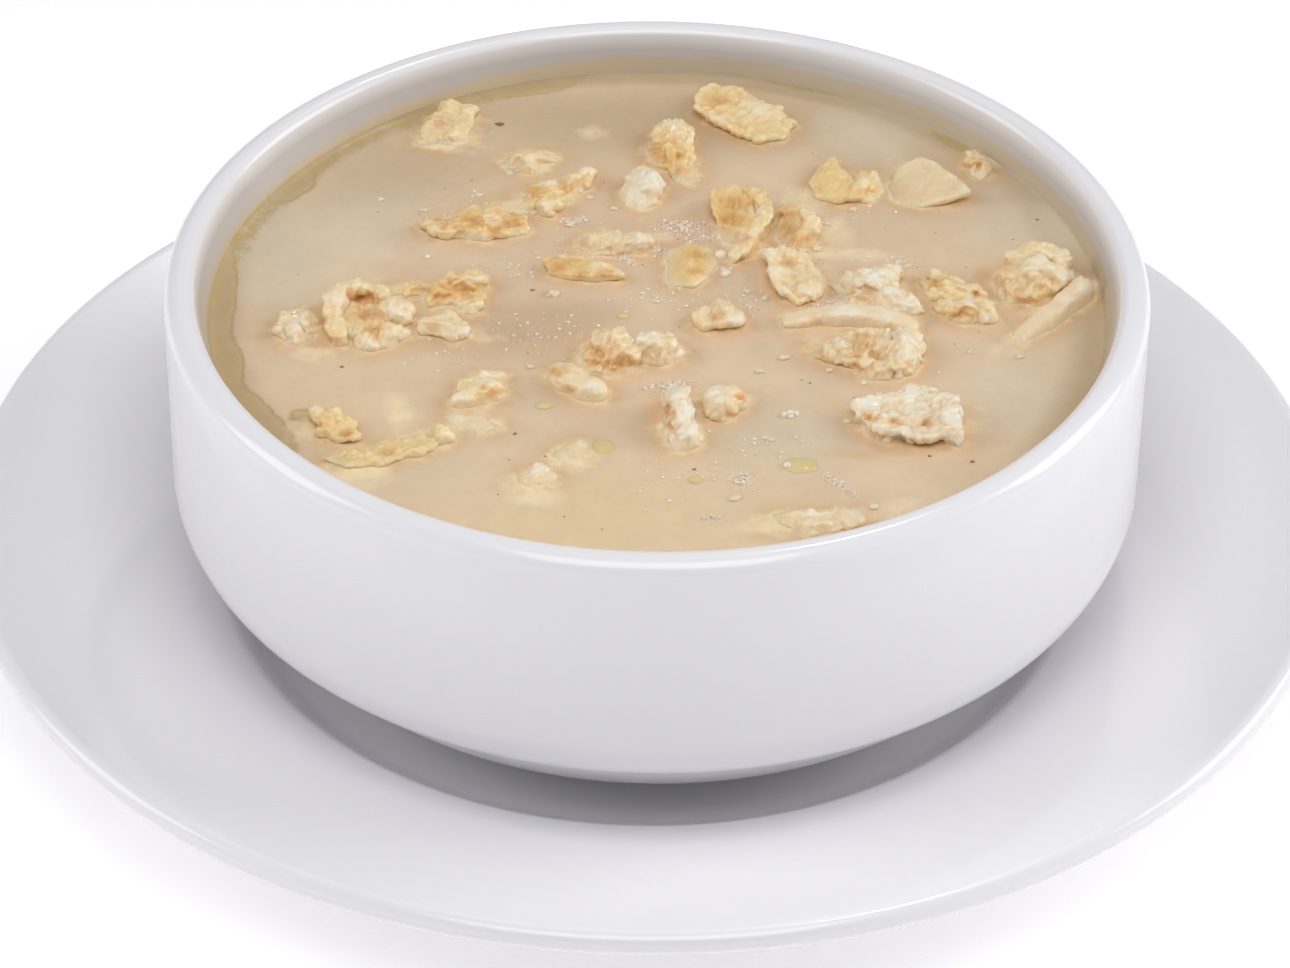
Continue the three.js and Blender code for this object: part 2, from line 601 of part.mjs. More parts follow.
/** One tripe piece, its lobes joined. */
function tripePiece({ flakes = [], ribbons = [], lumps = [] }) {
  const lobes = [...flakes.map(flake), ...ribbons.map(ribbon), ...lumps.map(lump)];
  return lobes.reduce((whole, lobe) => whole.add(lobe));
}

/** The soup: all of the hollow below its surface, clear of the porcelain, with a pocket for every piece. */
function soup(pieces) {
  const body = turned([
    [0, HOLLOW_FLOOR + GAP],
    ...bowlHollow(GAP),
    [SOUP_RADIUS, SOUP_LEVEL],
    [0, SOUP_LEVEL],
  ]);
  const pockets = pieces.map(pocket).reduce((whole, hole) => whole.add(hole));
  return toSolid(body).subtract(pockets.translate(0, 0, SOUP_LEVEL));
}

// Assembly

function addMesh(parent, name, geometry, material) {
  const mesh = new THREE.Mesh(geometry, material);
  mesh.name = name;
  parent.add(mesh);
}

const bowlOfSoup = new THREE.Group();
addMesh(bowlOfSoup, 'underplate', underplate(), porcelain);

const onPlate = new THREE.Group();
onPlate.position.x = BOWL_OFF_CENTRE;
bowlOfSoup.add(onPlate);
addMesh(onPlate, 'soup_bowl', soupBowl(), porcelain);

const tripe = Object.entries(TRIPE).map(([name, lobes]) => [name, tripePiece(lobes)]);
addMesh(onPlate, 'soup', toGeometry(soup(tripe.map(([, piece]) => piece))), creamBroth);

const onSoup = new THREE.Group();
onSoup.position.z = SOUP_LEVEL;
onPlate.add(onSoup);
for (const [name, piece] of tripe) {
  addMesh(onSoup, name, toGeometry(piece), cookedTripe);
}

export default bowlOfSoup;
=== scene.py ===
import math
import random

import bmesh
import bpy
import numpy as np
from mathutils import Matrix, Vector, noise
from mathutils.bvhtree import BVHTree


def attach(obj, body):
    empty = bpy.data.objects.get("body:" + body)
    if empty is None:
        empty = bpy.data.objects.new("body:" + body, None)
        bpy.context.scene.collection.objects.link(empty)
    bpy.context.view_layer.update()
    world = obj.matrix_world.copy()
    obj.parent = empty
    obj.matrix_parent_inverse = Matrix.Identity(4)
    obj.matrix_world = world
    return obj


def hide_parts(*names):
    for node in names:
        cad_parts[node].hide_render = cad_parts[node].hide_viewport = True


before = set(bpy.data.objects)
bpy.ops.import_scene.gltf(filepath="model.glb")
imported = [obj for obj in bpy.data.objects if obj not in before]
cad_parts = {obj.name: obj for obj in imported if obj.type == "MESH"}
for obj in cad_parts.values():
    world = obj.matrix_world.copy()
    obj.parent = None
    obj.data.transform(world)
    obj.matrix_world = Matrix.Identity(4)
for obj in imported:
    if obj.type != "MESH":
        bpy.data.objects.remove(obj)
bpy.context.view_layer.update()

# The studio: a white paper table, a large softbox high in front, a low one at each side, a weak fill at the
# right, and a small lamp behind that gives wet things their glints. The camera looks down at 36 degrees
# through a long lens, as in the photograph.

MM = 0.001
scene = bpy.context.scene
scene.view_settings.view_transform = "Standard"

camera_data = bpy.data.cameras.new("camera")
camera_data.lens = 139.5
camera_data.sensor_width = 36
camera = bpy.data.objects.new("camera", camera_data)
camera.location = (0.94 * MM, -548.57 * MM, 422.90 * MM)
camera.rotation_euler = [math.radians(angle) for angle in (53.757, -0.481, 0.493)]
scene.collection.objects.link(camera)
scene.camera = camera

BOWL_MIDDLE = (0, 0, 0.03)


def softbox(name, width, height, place, watts):
    """A rectangular area light at a place in metres, turned to face the middle of the bowl."""
    light = bpy.data.lights.new(name, "AREA")
    light.shape = "RECTANGLE"
    light.size = width
    light.size_y = height
    light.energy = watts
    lamp = bpy.data.objects.new(name, light)
    lamp.location = place
    lamp.rotation_euler = (Vector(BOWL_MIDDLE) - Vector(place)).to_track_quat("-Z", "Y").to_euler()
    scene.collection.objects.link(lamp)


softbox("high front", 0.8, 0.8, (0.0, -0.45, 1.08), 7.0)
softbox("low right", 0.7, 0.7, (1.04, 0.22, 0.54), 6.2)
softbox("low left", 0.6, 0.8, (-1.06, 0.0, 0.59), 4.8)
softbox("right fill", 0.5, 0.5, (0.80, -0.78, 0.48), 0.7)
softbox("small back", 0.05, 0.05, (0.15, 0.60, 0.90), 0.7)


def linear(code):
    """An sRGB hex colour as linear red, green and blue, with an alpha of 1."""
    parts = [int(code[at:at + 2], 16) / 255 for at in (1, 3, 5)]
    return [c / 12.92 if c <= 0.04045 else ((c + 0.055) / 1.055) ** 2.4 for c in parts] + [1]


def add_node(tree, kind, inputs=None, **settings):
    """A node in a material, with settings, and inputs given as values or as sockets to link."""
    node = tree.nodes.new(kind)
    for name, value in settings.items():
        setattr(node, name, value)
    for name, value in (inputs or {}).items():
        if isinstance(value, bpy.types.NodeSocket):
            tree.links.new(value, node.inputs[name])
        else:
            node.inputs[name].default_value = value
    return node


def new_material(name):
    """A material with a Principled shader, its tree and its object coordinates in metres."""
    material = bpy.data.materials.new(name)
    material.use_nodes = True
    tree = material.node_tree
    shader = tree.nodes["Principled BSDF"]
    place = add_node(tree, "ShaderNodeTexCoord").outputs["Object"]
    return material, tree, shader, place


room = bpy.data.worlds.new("room")
room.use_nodes = True
room.node_tree.nodes["Background"].inputs["Color"].default_value = linear("#FDFBFF")
room.node_tree.nodes["Background"].inputs["Strength"].default_value = 0.08
scene.world = room

# White paper: uncoated stock, so it is matt, with a tooth of about half a millimetre. It lies on a light
# table, so it glows a little and its shadows stay pale.
paper, tree, shader, place = new_material("white paper")
shader.inputs["Base Color"].default_value = linear("#F6F5F7")
shader.inputs["Roughness"].default_value = 0.9
shader.inputs["Emission Color"].default_value = linear("#FFFFFF")
shader.inputs["Emission Strength"].default_value = 0.25
tooth = add_node(tree, "ShaderNodeTexNoise", {"Vector": place, "Scale": 1 / (0.5 * MM)})
bump = add_node(tree, "ShaderNodeBump", {"Height": tooth.outputs["Fac"], "Distance": 0.02 * MM})
tree.links.new(bump.outputs["Normal"], shader.inputs["Normal"])


def new_piece(name, bm, material):
    """An object at the origin from a finished bmesh, shaded smooth."""
    mesh = bpy.data.meshes.new(name)
    bm.to_mesh(mesh)
    bm.free()
    mesh.polygons.foreach_set("use_smooth", [True] * len(mesh.polygons))
    mesh.materials.append(material)
    piece = bpy.data.objects.new(name, mesh)
    scene.collection.objects.link(piece)
    return piece


bm = bmesh.new()
bmesh.ops.create_circle(bm, cap_ends=True, radius=3, segments=64)
new_piece("table_top", bm, paper)

# The underplate is a saucer of hotel porcelain, turned on a jigger and glazed all over but for its foot.
# It has a level well for the bowl with a crisp edge, a broad sloped rim and a round lip.

PLATE_RADIUS = 92.54
PLATE_WELL_FLOOR = 4.5


def turned(name, profile, segments, material):
    """A solid of revolution about Z. The profile holds [radius, height] or [radius, height, how much of
    each side the corner's round takes], in mm, and starts and ends on the axis."""
    bm = bmesh.new()
    last = bm.verts.new((profile[0][0] * MM, 0, profile[0][1] * MM))
    corners = []
    for point in profile[1:]:
        grown = bmesh.ops.extrude_vert_indiv(bm, verts=[last])["verts"]
        last = grown[0]
        last.co = (point[0] * MM, 0, point[1] * MM)
        if len(point) > 2:
            corners.append((last, point[2]))
    for corner, reach in corners:
        bmesh.ops.bevel(bm, geom=[corner], offset=reach * MM, offset_type="OFFSET", segments=10,
                        profile=0.5, affect="VERTICES", material=-1)
    bmesh.ops.spin(bm, geom=bm.verts[:] + bm.edges[:], cent=(0, 0, 0), axis=(0, 0, 1),
                   angle=math.tau, steps=segments, use_merge=True)
    bmesh.ops.remove_doubles(bm, verts=bm.verts[:], dist=0.001 * MM)
    bmesh.ops.recalc_face_normals(bm, faces=bm.faces[:])
    return new_piece(name, bm, material)


def glazed_porcelain(name):
    """Porcelain under a clear feldspar glaze: white with a cool cast, a slow drift in tone where the glaze
    runs thicker, and the slight orange peel that softens its reflections."""
    material, tree, shader, place = new_material(name)
    drift = add_node(tree, "ShaderNodeTexNoise", {"Vector": place, "Scale": 1 / (60 * MM), "Detail": 1})
    tone = add_node(tree, "ShaderNodeMix", {"Factor": drift.outputs["Fac"]}, data_type="RGBA")
    tone.inputs["A"].default_value = linear("#F3F2F6")
    tone.inputs["B"].default_value = linear("#F6F5F8")
    tree.links.new(tone.outputs["Result"], shader.inputs["Base Color"])
    shader.inputs["Roughness"].default_value = 0.16
    shader.inputs["IOR"].default_value = 1.5
    peel = add_node(tree, "ShaderNodeTexNoise", {"Vector": place, "Scale": 1 / (1.8 * MM), "Detail": 1})
    bump = add_node(tree, "ShaderNodeBump", {"Height": peel.outputs["Fac"], "Distance": 0.03 * MM})
    bump.inputs["Strength"].default_value = 0.5
    tree.links.new(bump.outputs["Normal"], shader.inputs["Normal"])
    return material, tree, shader, place


plate_glaze = glazed_porcelain("glazed porcelain of the underplate")[0]
plate = turned("underplate_glazed", [
    [0, 1.4], [44.3, 1.4, 0.4], [45, 0, 0.4], [49, 0, 0.4], [49.7, 1.4, 0.4], [60.5, 5.4, 6],
    [PLATE_RADIUS, 17.3, 1.1], [PLATE_RADIUS, 20.6, 2.2], [57.8, 9.1, 0.9], [54.2, 5.6, 1.6],
    [50.6, PLATE_WELL_FLOOR, 2], [0, PLATE_WELL_FLOOR],
], 192, plate_glaze)
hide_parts("underplate")
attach(plate, "root")

# The soup bowl is a stacking bowl of the same porcelain: an upright wall over a rounded, sloped corner,
# a small foot ring and a rolled rim. A skin of broth has dried on the wall just above the soup, higher at
# the right, where its greyer tone is painted shade. A grey band of painted shade darkens the inside wall
# from there nearly to the rim.

BOWL_X = 0.94
BOWL_RADIUS = 65
BOWL_FLOOR = PLATE_WELL_FLOOR
BOWL_RIM = 55.9
RIM_MIDDLE = 62.4
SOUP_LEVEL = 49.4
SOUP_RADIUS = 59.3

bowl_glaze, tree, shader, place = glazed_porcelain("glazed porcelain of the bowl")
plain = shader.inputs["Base Color"].links[0].from_socket
axes = add_node(tree, "ShaderNodeSeparateXYZ", {"Vector": place})
ragged = add_node(tree, "ShaderNodeTexNoise", {"Vector": place, "Scale": 1 / (5 * MM), "Detail": 3})
higher = add_node(tree, "ShaderNodeMapRange", {"Value": axes.outputs["X"], "From Min": -45 * MM,
                                               "From Max": -8 * MM, "To Max": 1.4 * MM})
lowered = add_node(tree, "ShaderNodeMath", {0: axes.outputs["Z"], 1: higher.outputs["Result"]},
                   operation="SUBTRACT")
edge = add_node(tree, "ShaderNodeMath", {0: ragged.outputs["Fac"], 1: 1.2 * MM, 2: lowered.outputs["Value"]},
                operation="MULTIPLY_ADD")
skin_and_shade = add_node(tree, "ShaderNodeMapRange", {"Value": edge.outputs["Value"],
                                             "From Min": (SOUP_LEVEL + 2.3) * MM,
                                             "From Max": (SOUP_LEVEL + 1.6) * MM})
# Painted shade: a grey band over the inside wall, from the soup nearly to the rim.
wall_shade = add_node(tree, "ShaderNodeMapRange", {"Value": axes.outputs["Z"], "From Min": (BOWL_RIM - 0.6) * MM,
                                             "From Max": (BOWL_RIM - 2.8) * MM, "To Max": 0.8})
side = add_node(tree, "ShaderNodeMapRange", {"Value": axes.outputs["X"], "From Min": -22 * MM,
                                             "From Max": 12 * MM})
# The dried skin is yellowish at the left; its greyer tone at the right is painted shade.
skin_and_shade_tone = add_node(tree, "ShaderNodeMix", {"Factor": side.outputs["Result"], "A": linear("#D7C6A8"),
                                             "B": linear("#CBBCA5")}, data_type="RGBA")
inside = add_node(tree, "ShaderNodeVectorMath", {0: place, 1: (1, 1, 0)}, operation="MULTIPLY")
reach = add_node(tree, "ShaderNodeVectorMath", {0: inside.outputs["Vector"]}, operation="LENGTH")
inner = add_node(tree, "ShaderNodeMath", {0: reach.outputs["Value"], 1: RIM_MIDDLE * MM},
                 operation="LESS_THAN")
above = add_node(tree, "ShaderNodeMath", {0: axes.outputs["Z"], 1: (SOUP_LEVEL - 2) * MM},
                 operation="GREATER_THAN")
where = add_node(tree, "ShaderNodeMath", {0: above.outputs["Value"], 1: inner.outputs["Value"]},
                 operation="MULTIPLY")
wall_tint = plain
# Two layers over the glaze: the grey band of painted shade, then the skin, which is partly painted shade.
for share, tint in ((wall_shade, linear("#C0BAB5")), (skin_and_shade, skin_and_shade_tone.outputs["Result"])):
    amount = add_node(tree, "ShaderNodeMath", {0: share.outputs["Result"], 1: where.outputs["Value"]},
                      operation="MULTIPLY")
    layer = add_node(tree, "ShaderNodeMix", {"Factor": amount.outputs["Value"], "A": wall_tint, "B": tint},
                     data_type="RGBA")
    wall_tint = layer.outputs["Result"]
tree.links.new(wall_tint, shader.inputs["Base Color"])

bowl = turned("soup_bowl_glazed", [
    [0, BOWL_FLOOR + 1.6], [33.2, BOWL_FLOOR + 1.6, 0.4], [34, BOWL_FLOOR, 0.4], [38.5, BOWL_FLOOR, 0.4],
    [39.3, BOWL_FLOOR + 1.6, 0.4], [51.6, 10.4, 3], [BOWL_RADIUS, 23.9, 3.3], [BOWL_RADIUS, BOWL_RIM, 2.2],
    [61.22, BOWL_RIM, 0.98], [SOUP_RADIUS, SOUP_LEVEL, 1.5], [54.9, 11.7, 13.2], [0, 11.3],
], 192, bowl_glaze)
bowl.data.transform(Matrix.Translation((BOWL_X * MM, 0, 0)))
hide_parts("soup_bowl")
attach(bowl, "root")

# The tripe is beef tripe, boiled until soft, torn and cut by hand into flakes, strips and crumpled folds
# that float at the surface. Each piece is pale straw, wet and slightly see-through, with a grain of about
# half a millimetre. It is whiter on its ridges and tops, paler tissue under a painted highlight, and amber
# in its hollows and creases, amber tissue under a painted shade.

VOXEL = 0.2
SWELL = 0.22
BEND_LENGTH = 2.6
WRINKLE_LENGTH = 1.1
LOBE_LENGTH = 2.6
LOBE_WIDTH = 1.5
CURD = 1.1
SMALL_CURD = 0.5
PLEAT_LENGTH = 1.7
PLEAT_WIDTH = 0.6
PLEAT_HEIGHT = 1.2
SEEN_BACK_PER_HEIGHT = 1.5

# fold is the direction of a piece's folds in degrees, and rough is how much of them it has. tone is from -1,
# milky, to 1, yellow, and soaked is how far the broth has veiled it. grow and lift, in mm, thicken it and
# raise it. white and amber are its paler spots, a painted highlight over paler tissue, and its amber spots,
# a painted shade over amber tissue: [x, y, radius] in mm from the bowl's axis, at the soup's level as the
# camera sees it, so a raised spot counts 1.5 times its height further back.
MARKS = {
    "tripe_flake_by_back_rim": {
        "fold": 5, "tone": 1, "rough": 0.8, "soaked": 0.5,
        "white": [[-26.5, 48.5, 1.6], [-28, 43, 1.2]],
        "amber": [[-30.5, 46, 1.5], [-29, 41, 1.1]],
    },
    "tripe_flake_back": {
        "fold": 40, "tone": 0.8, "rough": 0.8, "soaked": 0.1,
        "white": [[7.5, 47.5, 1.3], [14, 50, 2.5]],
        "amber": [[5.6, 46, 1.2], [9.5, 43.6, 1.2], [8, 52, 1.5]],
    },
    "tripe_chunk_back": {
        "fold": 80, "tone": 0.9,
        "white": [[2, 45.5, 2], [4, 42, 1.4]],
        "amber": [[-0.3, 37.8, 2.4], [-1, 40, 1.6], [2, 34, 2], [4, 31, 1.6], [2.6, 38, 1.2]],
    },
    "tripe_scrap_back_left": {
        "fold": 20, "tone": 0.8, "soaked": 0.45,
        "white": [[-17.5, 37, 1.2]],
        "amber": [[-20, 35.5, 1.2], [-15.5, 35.4, 1]],
    },
    "tripe_sliver_by_right_rim": {
        "fold": 70, "tone": 0.2,
        "white": [[46.3, 40, 1.4]],
        "amber": [[43.6, 36.5, 1.1]],
    },
    "tripe_leaf_back": {
        "fold": 80, "tone": -0.5, "rough": 0.6, "soaked": 0.1,
        "white": [[-1, 31.5, 2.2], [-2.2, 28, 1.6]],
        "amber": [],
    },
    "tripe_flake_right_back": {
        "fold": 60, "tone": 1, "rough": 0.35, "soaked": 0.05,
        "white": [[28, 31.5, 1], [29.8, 32.5, 0.9]],
        "amber": [[26, 27, 1.1], [28.7, 29.4, 0.8]],
    },
    "tripe_sheet_right_back": {
        "fold": 125, "tone": 0.4, "rough": 0.15, "soaked": 0.7, "lift": 0.1,
        "white": [[38, 37, 1], [40, 33, 1], [41.8, 30.4, 1], [43, 28, 1.1]],
        "amber": [[34, 29, 2.5]],
    },
    "tripe_strip_left_back": {
        "fold": 10, "tone": 1, "grow": 0.25,
        "white": [[-21.8, 21.6, 1], [-30, 17.8, 1.6], [-25, 17.4, 1.5]],
        "amber": [[-28.6, 21, 2], [-25, 20.6, 1.6], [-19.4, 21, 2.2], [-22, 18.6, 1.2]],
    },
    "tripe_strip_back": {
        "fold": 45, "tone": 0.8, "grow": 0.25,
        "white": [[-15, 30.5, 1], [-13, 33, 1.3], [-15, 24.6, 1.3], [-10, 33.4, 1.3]],
        "amber": [[-17.4, 27.6, 1.6], [-12.6, 29.4, 1.4], [-16.6, 24, 1.2]],
    },
    "tripe_curl_centre": {
        "fold": 80, "tone": 0.9, "rough": 0.6,
        "white": [[13.6, 24, 1.5], [12.4, 19, 1.4], [10.4, 14.6, 1.4]],
        "amber": [[10, 26, 2.2], [9.6, 22.6, 2.2], [11.4, 18, 1.2], [8.6, 19.4, 1.4]],
    },
    "tripe_curl_right_of_centre": {
        "fold": 70, "tone": 0.8, "rough": 0.6, "soaked": 0.1,
        "white": [[20.4, 23, 1.4], [21.4, 19.4, 1.2]],
        "amber": [[17, 23.4, 1.8], [17.2, 19.6, 2], [18.6, 17.4, 1.4]],
    },
    "tripe_scrap_centre": {
        "fold": 20, "tone": 0.1, "rough": 0.9, "soaked": 0.3,
        "white": [[-2.5, 16.6, 1.8]],
        "amber": [[-9.4, 15, 1.4], [-6, 14.6, 1]],
    },
    "tripe_strip_centre": {
        "fold": -12, "tone": 1, "rough": 0.5, "soaked": 0.1,
        "white": [[-4.5, 8.8, 1.2], [-8, 10.4, 1.1]],
        "amber": [[-13.2, 10.4, 2], [-10.4, 7.6, 1.6], [-7, 8, 1.4]],
    },
    "tripe_patch_centre": {
        "fold": 90, "tone": 1, "rough": 0.12, "lift": 0.25,
        "white": [[2, 13.4, 0.9]],
        "amber": [[5.4, 12.8, 1.6], [5, 9, 1.2]],
    },
    "tripe_flake_right_of_centre": {
        "fold": 75, "tone": 0.2, "rough": 0.6, "soaked": 0.15,
        "white": [[15, 14, 1.1], [15.8, 9.4, 1.1], [16.6, 4.6, 1.2], [20.4, 4.8, 1.3]],
        "amber": [[17.6, 11.4, 0.9], [19.4, 1.6, 0.9]],
    },
    "tripe_crumple_right": {
        "fold": -30, "tone": -0.5,
        "white": [[29, 8.6, 1.9], [31, 5, 1.5], [33, 2, 1.3]],
        "amber": [[22.6, 7.4, 1.5], [24.4, 4.4, 1.6], [27.4, 3, 1.1]],
    },
    "tripe_crumple_far_right": {
        "fold": -20, "tone": 0.4,
        "white": [[43.5, -0.6, 1.3], [41.6, 2.8, 1]],
        "amber": [[37, 8, 1.3], [34.4, 6.4, 1.1], [40, -0.3, 1.7], [42.2, 4.2, 0.7]],
    },
    "tripe_chunk_by_right_rim": {
        "fold": 25, "tone": 0.35, "rough": 0.7,
        "white": [[51.6, 12.6, 2.2], [54, 9.6, 1.4]],
        "amber": [[46.4, 11.8, 1.4], [51, 6.4, 0.8], [53, 8, 0.7], [49.4, 3, 1.2]],
    },
    "tripe_strip_by_right_rim": {
        "fold": 45, "tone": -0.1, "rough": 0.1, "soaked": 0.6, "grow": 0.4,
        "white": [[56.6, 6, 1.2], [54, 3, 1]],
        "amber": [],
    },
    "tripe_roll_left": {
        "fold": 85, "tone": 0.3, "rough": 0.75, "grow": 0.15,
        "white": [[-34.4, -1.4, 1.7], [-34, -7, 1.6], [-41.8, 1.6, 1.2], [-37.6, -8.2, 1.2]],
        "amber": [[-39, 2, 1.7], [-38.6, -1.4, 1.6], [-37, -5.4, 1.4], [-42.8, -7.6, 1.2]],
    },
    "tripe_fold_left": {
        "fold": 30, "tone": 0.9,
        "white": [[-24.3, 7, 1.3], [-23.6, 0.6, 1.1]],
        "amber": [[-27, 5, 2], [-28.4, 2.6, 1.6], [-25.6, 3.6, 1.5], [-30.4, 4, 1.4]],
    },
    "tripe_scrap_far_left": {
        "fold": 20, "tone": 0, "soaked": 0.2, "grow": 0.2, "lift": 0.2,
        "white": [[-47.6, -5, 1.5]],
        "amber": [],
    },
    "tripe_flake_left_of_centre": {
        "fold": -25, "tone": 0.1, "rough": 0.9, "soaked": 0.45, "grow": 0.2, "lift": 0.2,
        "white": [[-25.4, -5.6, 1.2]],
        "amber": [[-29.6, -5.6, 1]],
    },
    "tripe_ridge_right": {
        "fold": 0, "tone": -0.1, "rough": 0.15, "soaked": 0.5, "grow": 0.45,
        "white": [[25, -0.2, 2], [30, -0.8, 1.6]],
        "amber": [[21, -2.4, 1], [27, -3, 0.9]],
    },
    "tripe_fold_right": {
        "fold": 75, "tone": -0.1,
        "white": [[33, -6.4, 1.6], [33.6, -10, 1.7], [31.6, -14.4, 1.6], [24, -7, 1]],
        "amber": [[26.4, -7.2, 1.7], [21.4, -11, 1.7], [26, -9.8, 0.9], [29, -10, 0.9], [26, -13.4, 1.2]],
    },
    "tripe_wedge_centre": {
        "fold": 60, "tone": 0.1, "rough": 0.7, "soaked": 0.1, "grow": 0.2,
        "white": [[10.2, -2, 1.3]],
        "amber": [[7.8, -1.6, 1.1]],
    },
    "tripe_chunk_centre": {
        "fold": 60, "tone": 0.2,
        "white": [[-1, -6.4, 1.7], [2, -8.4, 1.4], [3.4, -11, 1.4]],
        "amber": [[-7.4, -9.4, 2.3], [-5, -12.4, 1.8], [-8.6, -13, 1.2]],
    },
    "tripe_bean_centre": {
        "fold": -45, "tone": 0.1, "rough": 0.4, "soaked": 0.1,
        "white": [[-8.2, -18, 1.7]],
        "amber": [[-13, -14.6, 1.2], [-11.4, -19, 1.1]],
    },
    "tripe_twin_lobes_left": {
        "fold": 26, "tone": 0.1, "rough": 0.5, "soaked": 0.1,
        "white": [[-22, -15.8, 1.4], [-25.4, -20.6, 1]],
        "amber": [[-21, -19.6, 1.3], [-22.4, -18, 0.6]],
    },
    "tripe_wedge_front": {
        "fold": 95, "tone": -0.8, "grow": 0.2,
        "white": [[4.6, -23, 1.7], [4.4, -27.4, 1.5]],
        "amber": [[1, -23.6, 1.8], [1.6, -26.4, 1.2]],
    },
    "tripe_knob_front": {
        "fold": 20, "tone": 0, "grow": 0.35,
        "white": [[7.6, -19.6, 1.7]],
        "amber": [[10.8, -19.4, 0.9], [9.4, -24, 1.1]],
    },
    "tripe_cup_front_right": {
        "fold": 30, "tone": -0.9,
        "white": [[38.2, -24, 1.4], [38.4, -28.6, 1.6], [33, -19, 1.3], [27.2, -21, 1.2], [30.4, -28.4, 1.2]],
        "amber": [[27.4, -23.6, 1], [31, -24.4, 1], [34.6, -25, 0.9]],
    },
    "tripe_ear_front_left": {
        "fold": 130, "tone": 0.8,
        "white": [[-38.4, -29.4, 0.9], [-43.6, -24, 1]],
        "amber": [[-39.6, -29, 0.9], [-42.8, -27, 0.7]],
    },
    "tripe_strip_front_left": {
        "fold": 25, "tone": 0.9, "rough": 0.9, "soaked": 0.2, "lift": 0.4,
        "white": [[-26.6, -29.2, 1.2]],
        "amber": [[-34, -33, 1]],
    },
    "tripe_sliver_front_left": {
        "fold": 0, "tone": -0.2, "rough": 0.3, "soaked": 0.5, "lift": 0.2,
        "white": [[-25, -25.2, 1.2]],
        "amber": [],
    },
    "tripe_scrap_front": {
        "fold": 20, "tone": -0.2, "rough": 0.8, "soaked": 0.5, "grow": 0.3, "lift": 0.2,
        "white": [[-14.8, -36.6, 1.2]],
        "amber": [],
    },
    "tripe_corner_front": {
        "fold": 40, "tone": 0.3, "rough": 0.2, "soaked": 0.5, "lift": 0.1,
        "white": [[-9.4, -30.4, 0.9]],
        "amber": [],
    },
    "tripe_sheet_front": {
        "fold": 15, "tone": 0, "rough": 0.8, "soaked": 0.45, "grow": 0.15, "lift": 0.2,
        "white": [[20, -45.6, 1.4], [25, -44.8, 1.2]],
        "amber": [[18, -48.4, 1.1]],
    },
}

# Boiled tripe: a wet, slightly translucent tissue. Light goes about a millimetre in, so its edges glow,
# and the film of broth on it gives small sharp glints on the grain.
boiled_tripe, tree, shader, place = new_material("boiled tripe")
tone = add_node(tree, "ShaderNodeAttribute", attribute_name="tone")
white = add_node(tree, "ShaderNodeAttribute", attribute_name="white")
amber = add_node(tree, "ShaderNodeAttribute", attribute_name="amber")
wet = add_node(tree, "ShaderNodeAttribute", attribute_name="wet")
ramp = add_node(tree, "ShaderNodeValToRGB", {"Fac": tone.outputs["Fac"]})
ramp.color_ramp.elements[0].color = linear("#FCEACE")
ramp.color_ramp.elements[1].color = linear("#F4D698")
mottle = add_node(tree, "ShaderNodeTexNoise", {"Vector": place, "Scale": 1 / (1.4 * MM), "Detail": 3})
uneven = add_node(tree, "ShaderNodeMath", {0: mottle.outputs["Fac"], 1: 0.7, 2: -0.35},
                  operation="MULTIPLY_ADD")
deep = add_node(tree, "ShaderNodeMath", {0: amber.outputs["Fac"], 1: uneven.outputs["Value"]},
                operation="ADD", use_clamp=True)
high = add_node(tree, "ShaderNodeMath", {0: white.outputs["Fac"], 1: uneven.outputs["Value"]},
                operation="SUBTRACT", use_clamp=True)
# Amber in the marked spots, creases and gaps between curds: amber tissue with painted shade.
amber_shade = add_node(tree, "ShaderNodeMix", {"Factor": deep.outputs["Value"]}, data_type="RGBA")
tree.links.new(ramp.outputs["Color"], amber_shade.inputs["A"])
amber_shade.inputs["B"].default_value = linear("#DDAA64")
whites = add_node(tree, "ShaderNodeValToRGB", {"Fac": tone.outputs["Fac"]})
whites.color_ramp.elements[0].color = linear("#FFF3E4")
whites.color_ramp.elements[1].color = linear("#FAE3BF")
# Whiter on the marked spots, ridges and tops: paler tissue with a painted highlight.
highlighted = add_node(tree, "ShaderNodeMix", {"Factor": high.outputs["Value"]}, data_type="RGBA")
tree.links.new(amber_shade.outputs["Result"], highlighted.inputs["A"])
tree.links.new(whites.outputs["Color"], highlighted.inputs["B"])
# Near the broth the tripe takes a broth colour, painted lighter than the broth itself to lift the shade on
# its steep sides.
dipped_and_lightened = add_node(tree, "ShaderNodeMix", {"Factor": wet.outputs["Fac"]}, data_type="RGBA")
tree.links.new(highlighted.outputs["Result"], dipped_and_lightened.inputs["A"])
dipped_and_lightened.inputs["B"].default_value = linear("#F2DBB8")
tree.links.new(dipped_and_lightened.outputs["Result"], shader.inputs["Base Color"])
shader.inputs["Roughness"].default_value = 0.38
shader.inputs["IOR"].default_value = 1.4
lit_through = add_node(tree, "ShaderNodeMath", {0: wet.outputs["Fac"], 1: -0.45, 2: 0.8},
                       operation="MULTIPLY_ADD", use_clamp=True)
tree.links.new(lit_through.outputs["Value"], shader.inputs["Subsurface Weight"])
shader.inputs["Subsurface Radius"].default_value = (1.0, 0.95, 0.88)
shader.inputs["Subsurface Scale"].default_value = 1.4 * MM
shader.inputs["Coat Weight"].default_value = 0.35
shader.inputs["Coat Roughness"].default_value = 0.06
grain = add_node(tree, "ShaderNodeTexNoise", {"Vector": place, "Scale": 1 / (0.4 * MM), "Detail": 3})
pits = add_node(tree, "ShaderNodeTexVoronoi", {"Vector": place, "Scale": 1 / (0.8 * MM)})
relief = add_node(tree, "ShaderNodeMath", {0: pits.outputs["Distance"], 1: -0.4, 2: grain.outputs["Fac"]},
                  operation="MULTIPLY_ADD")
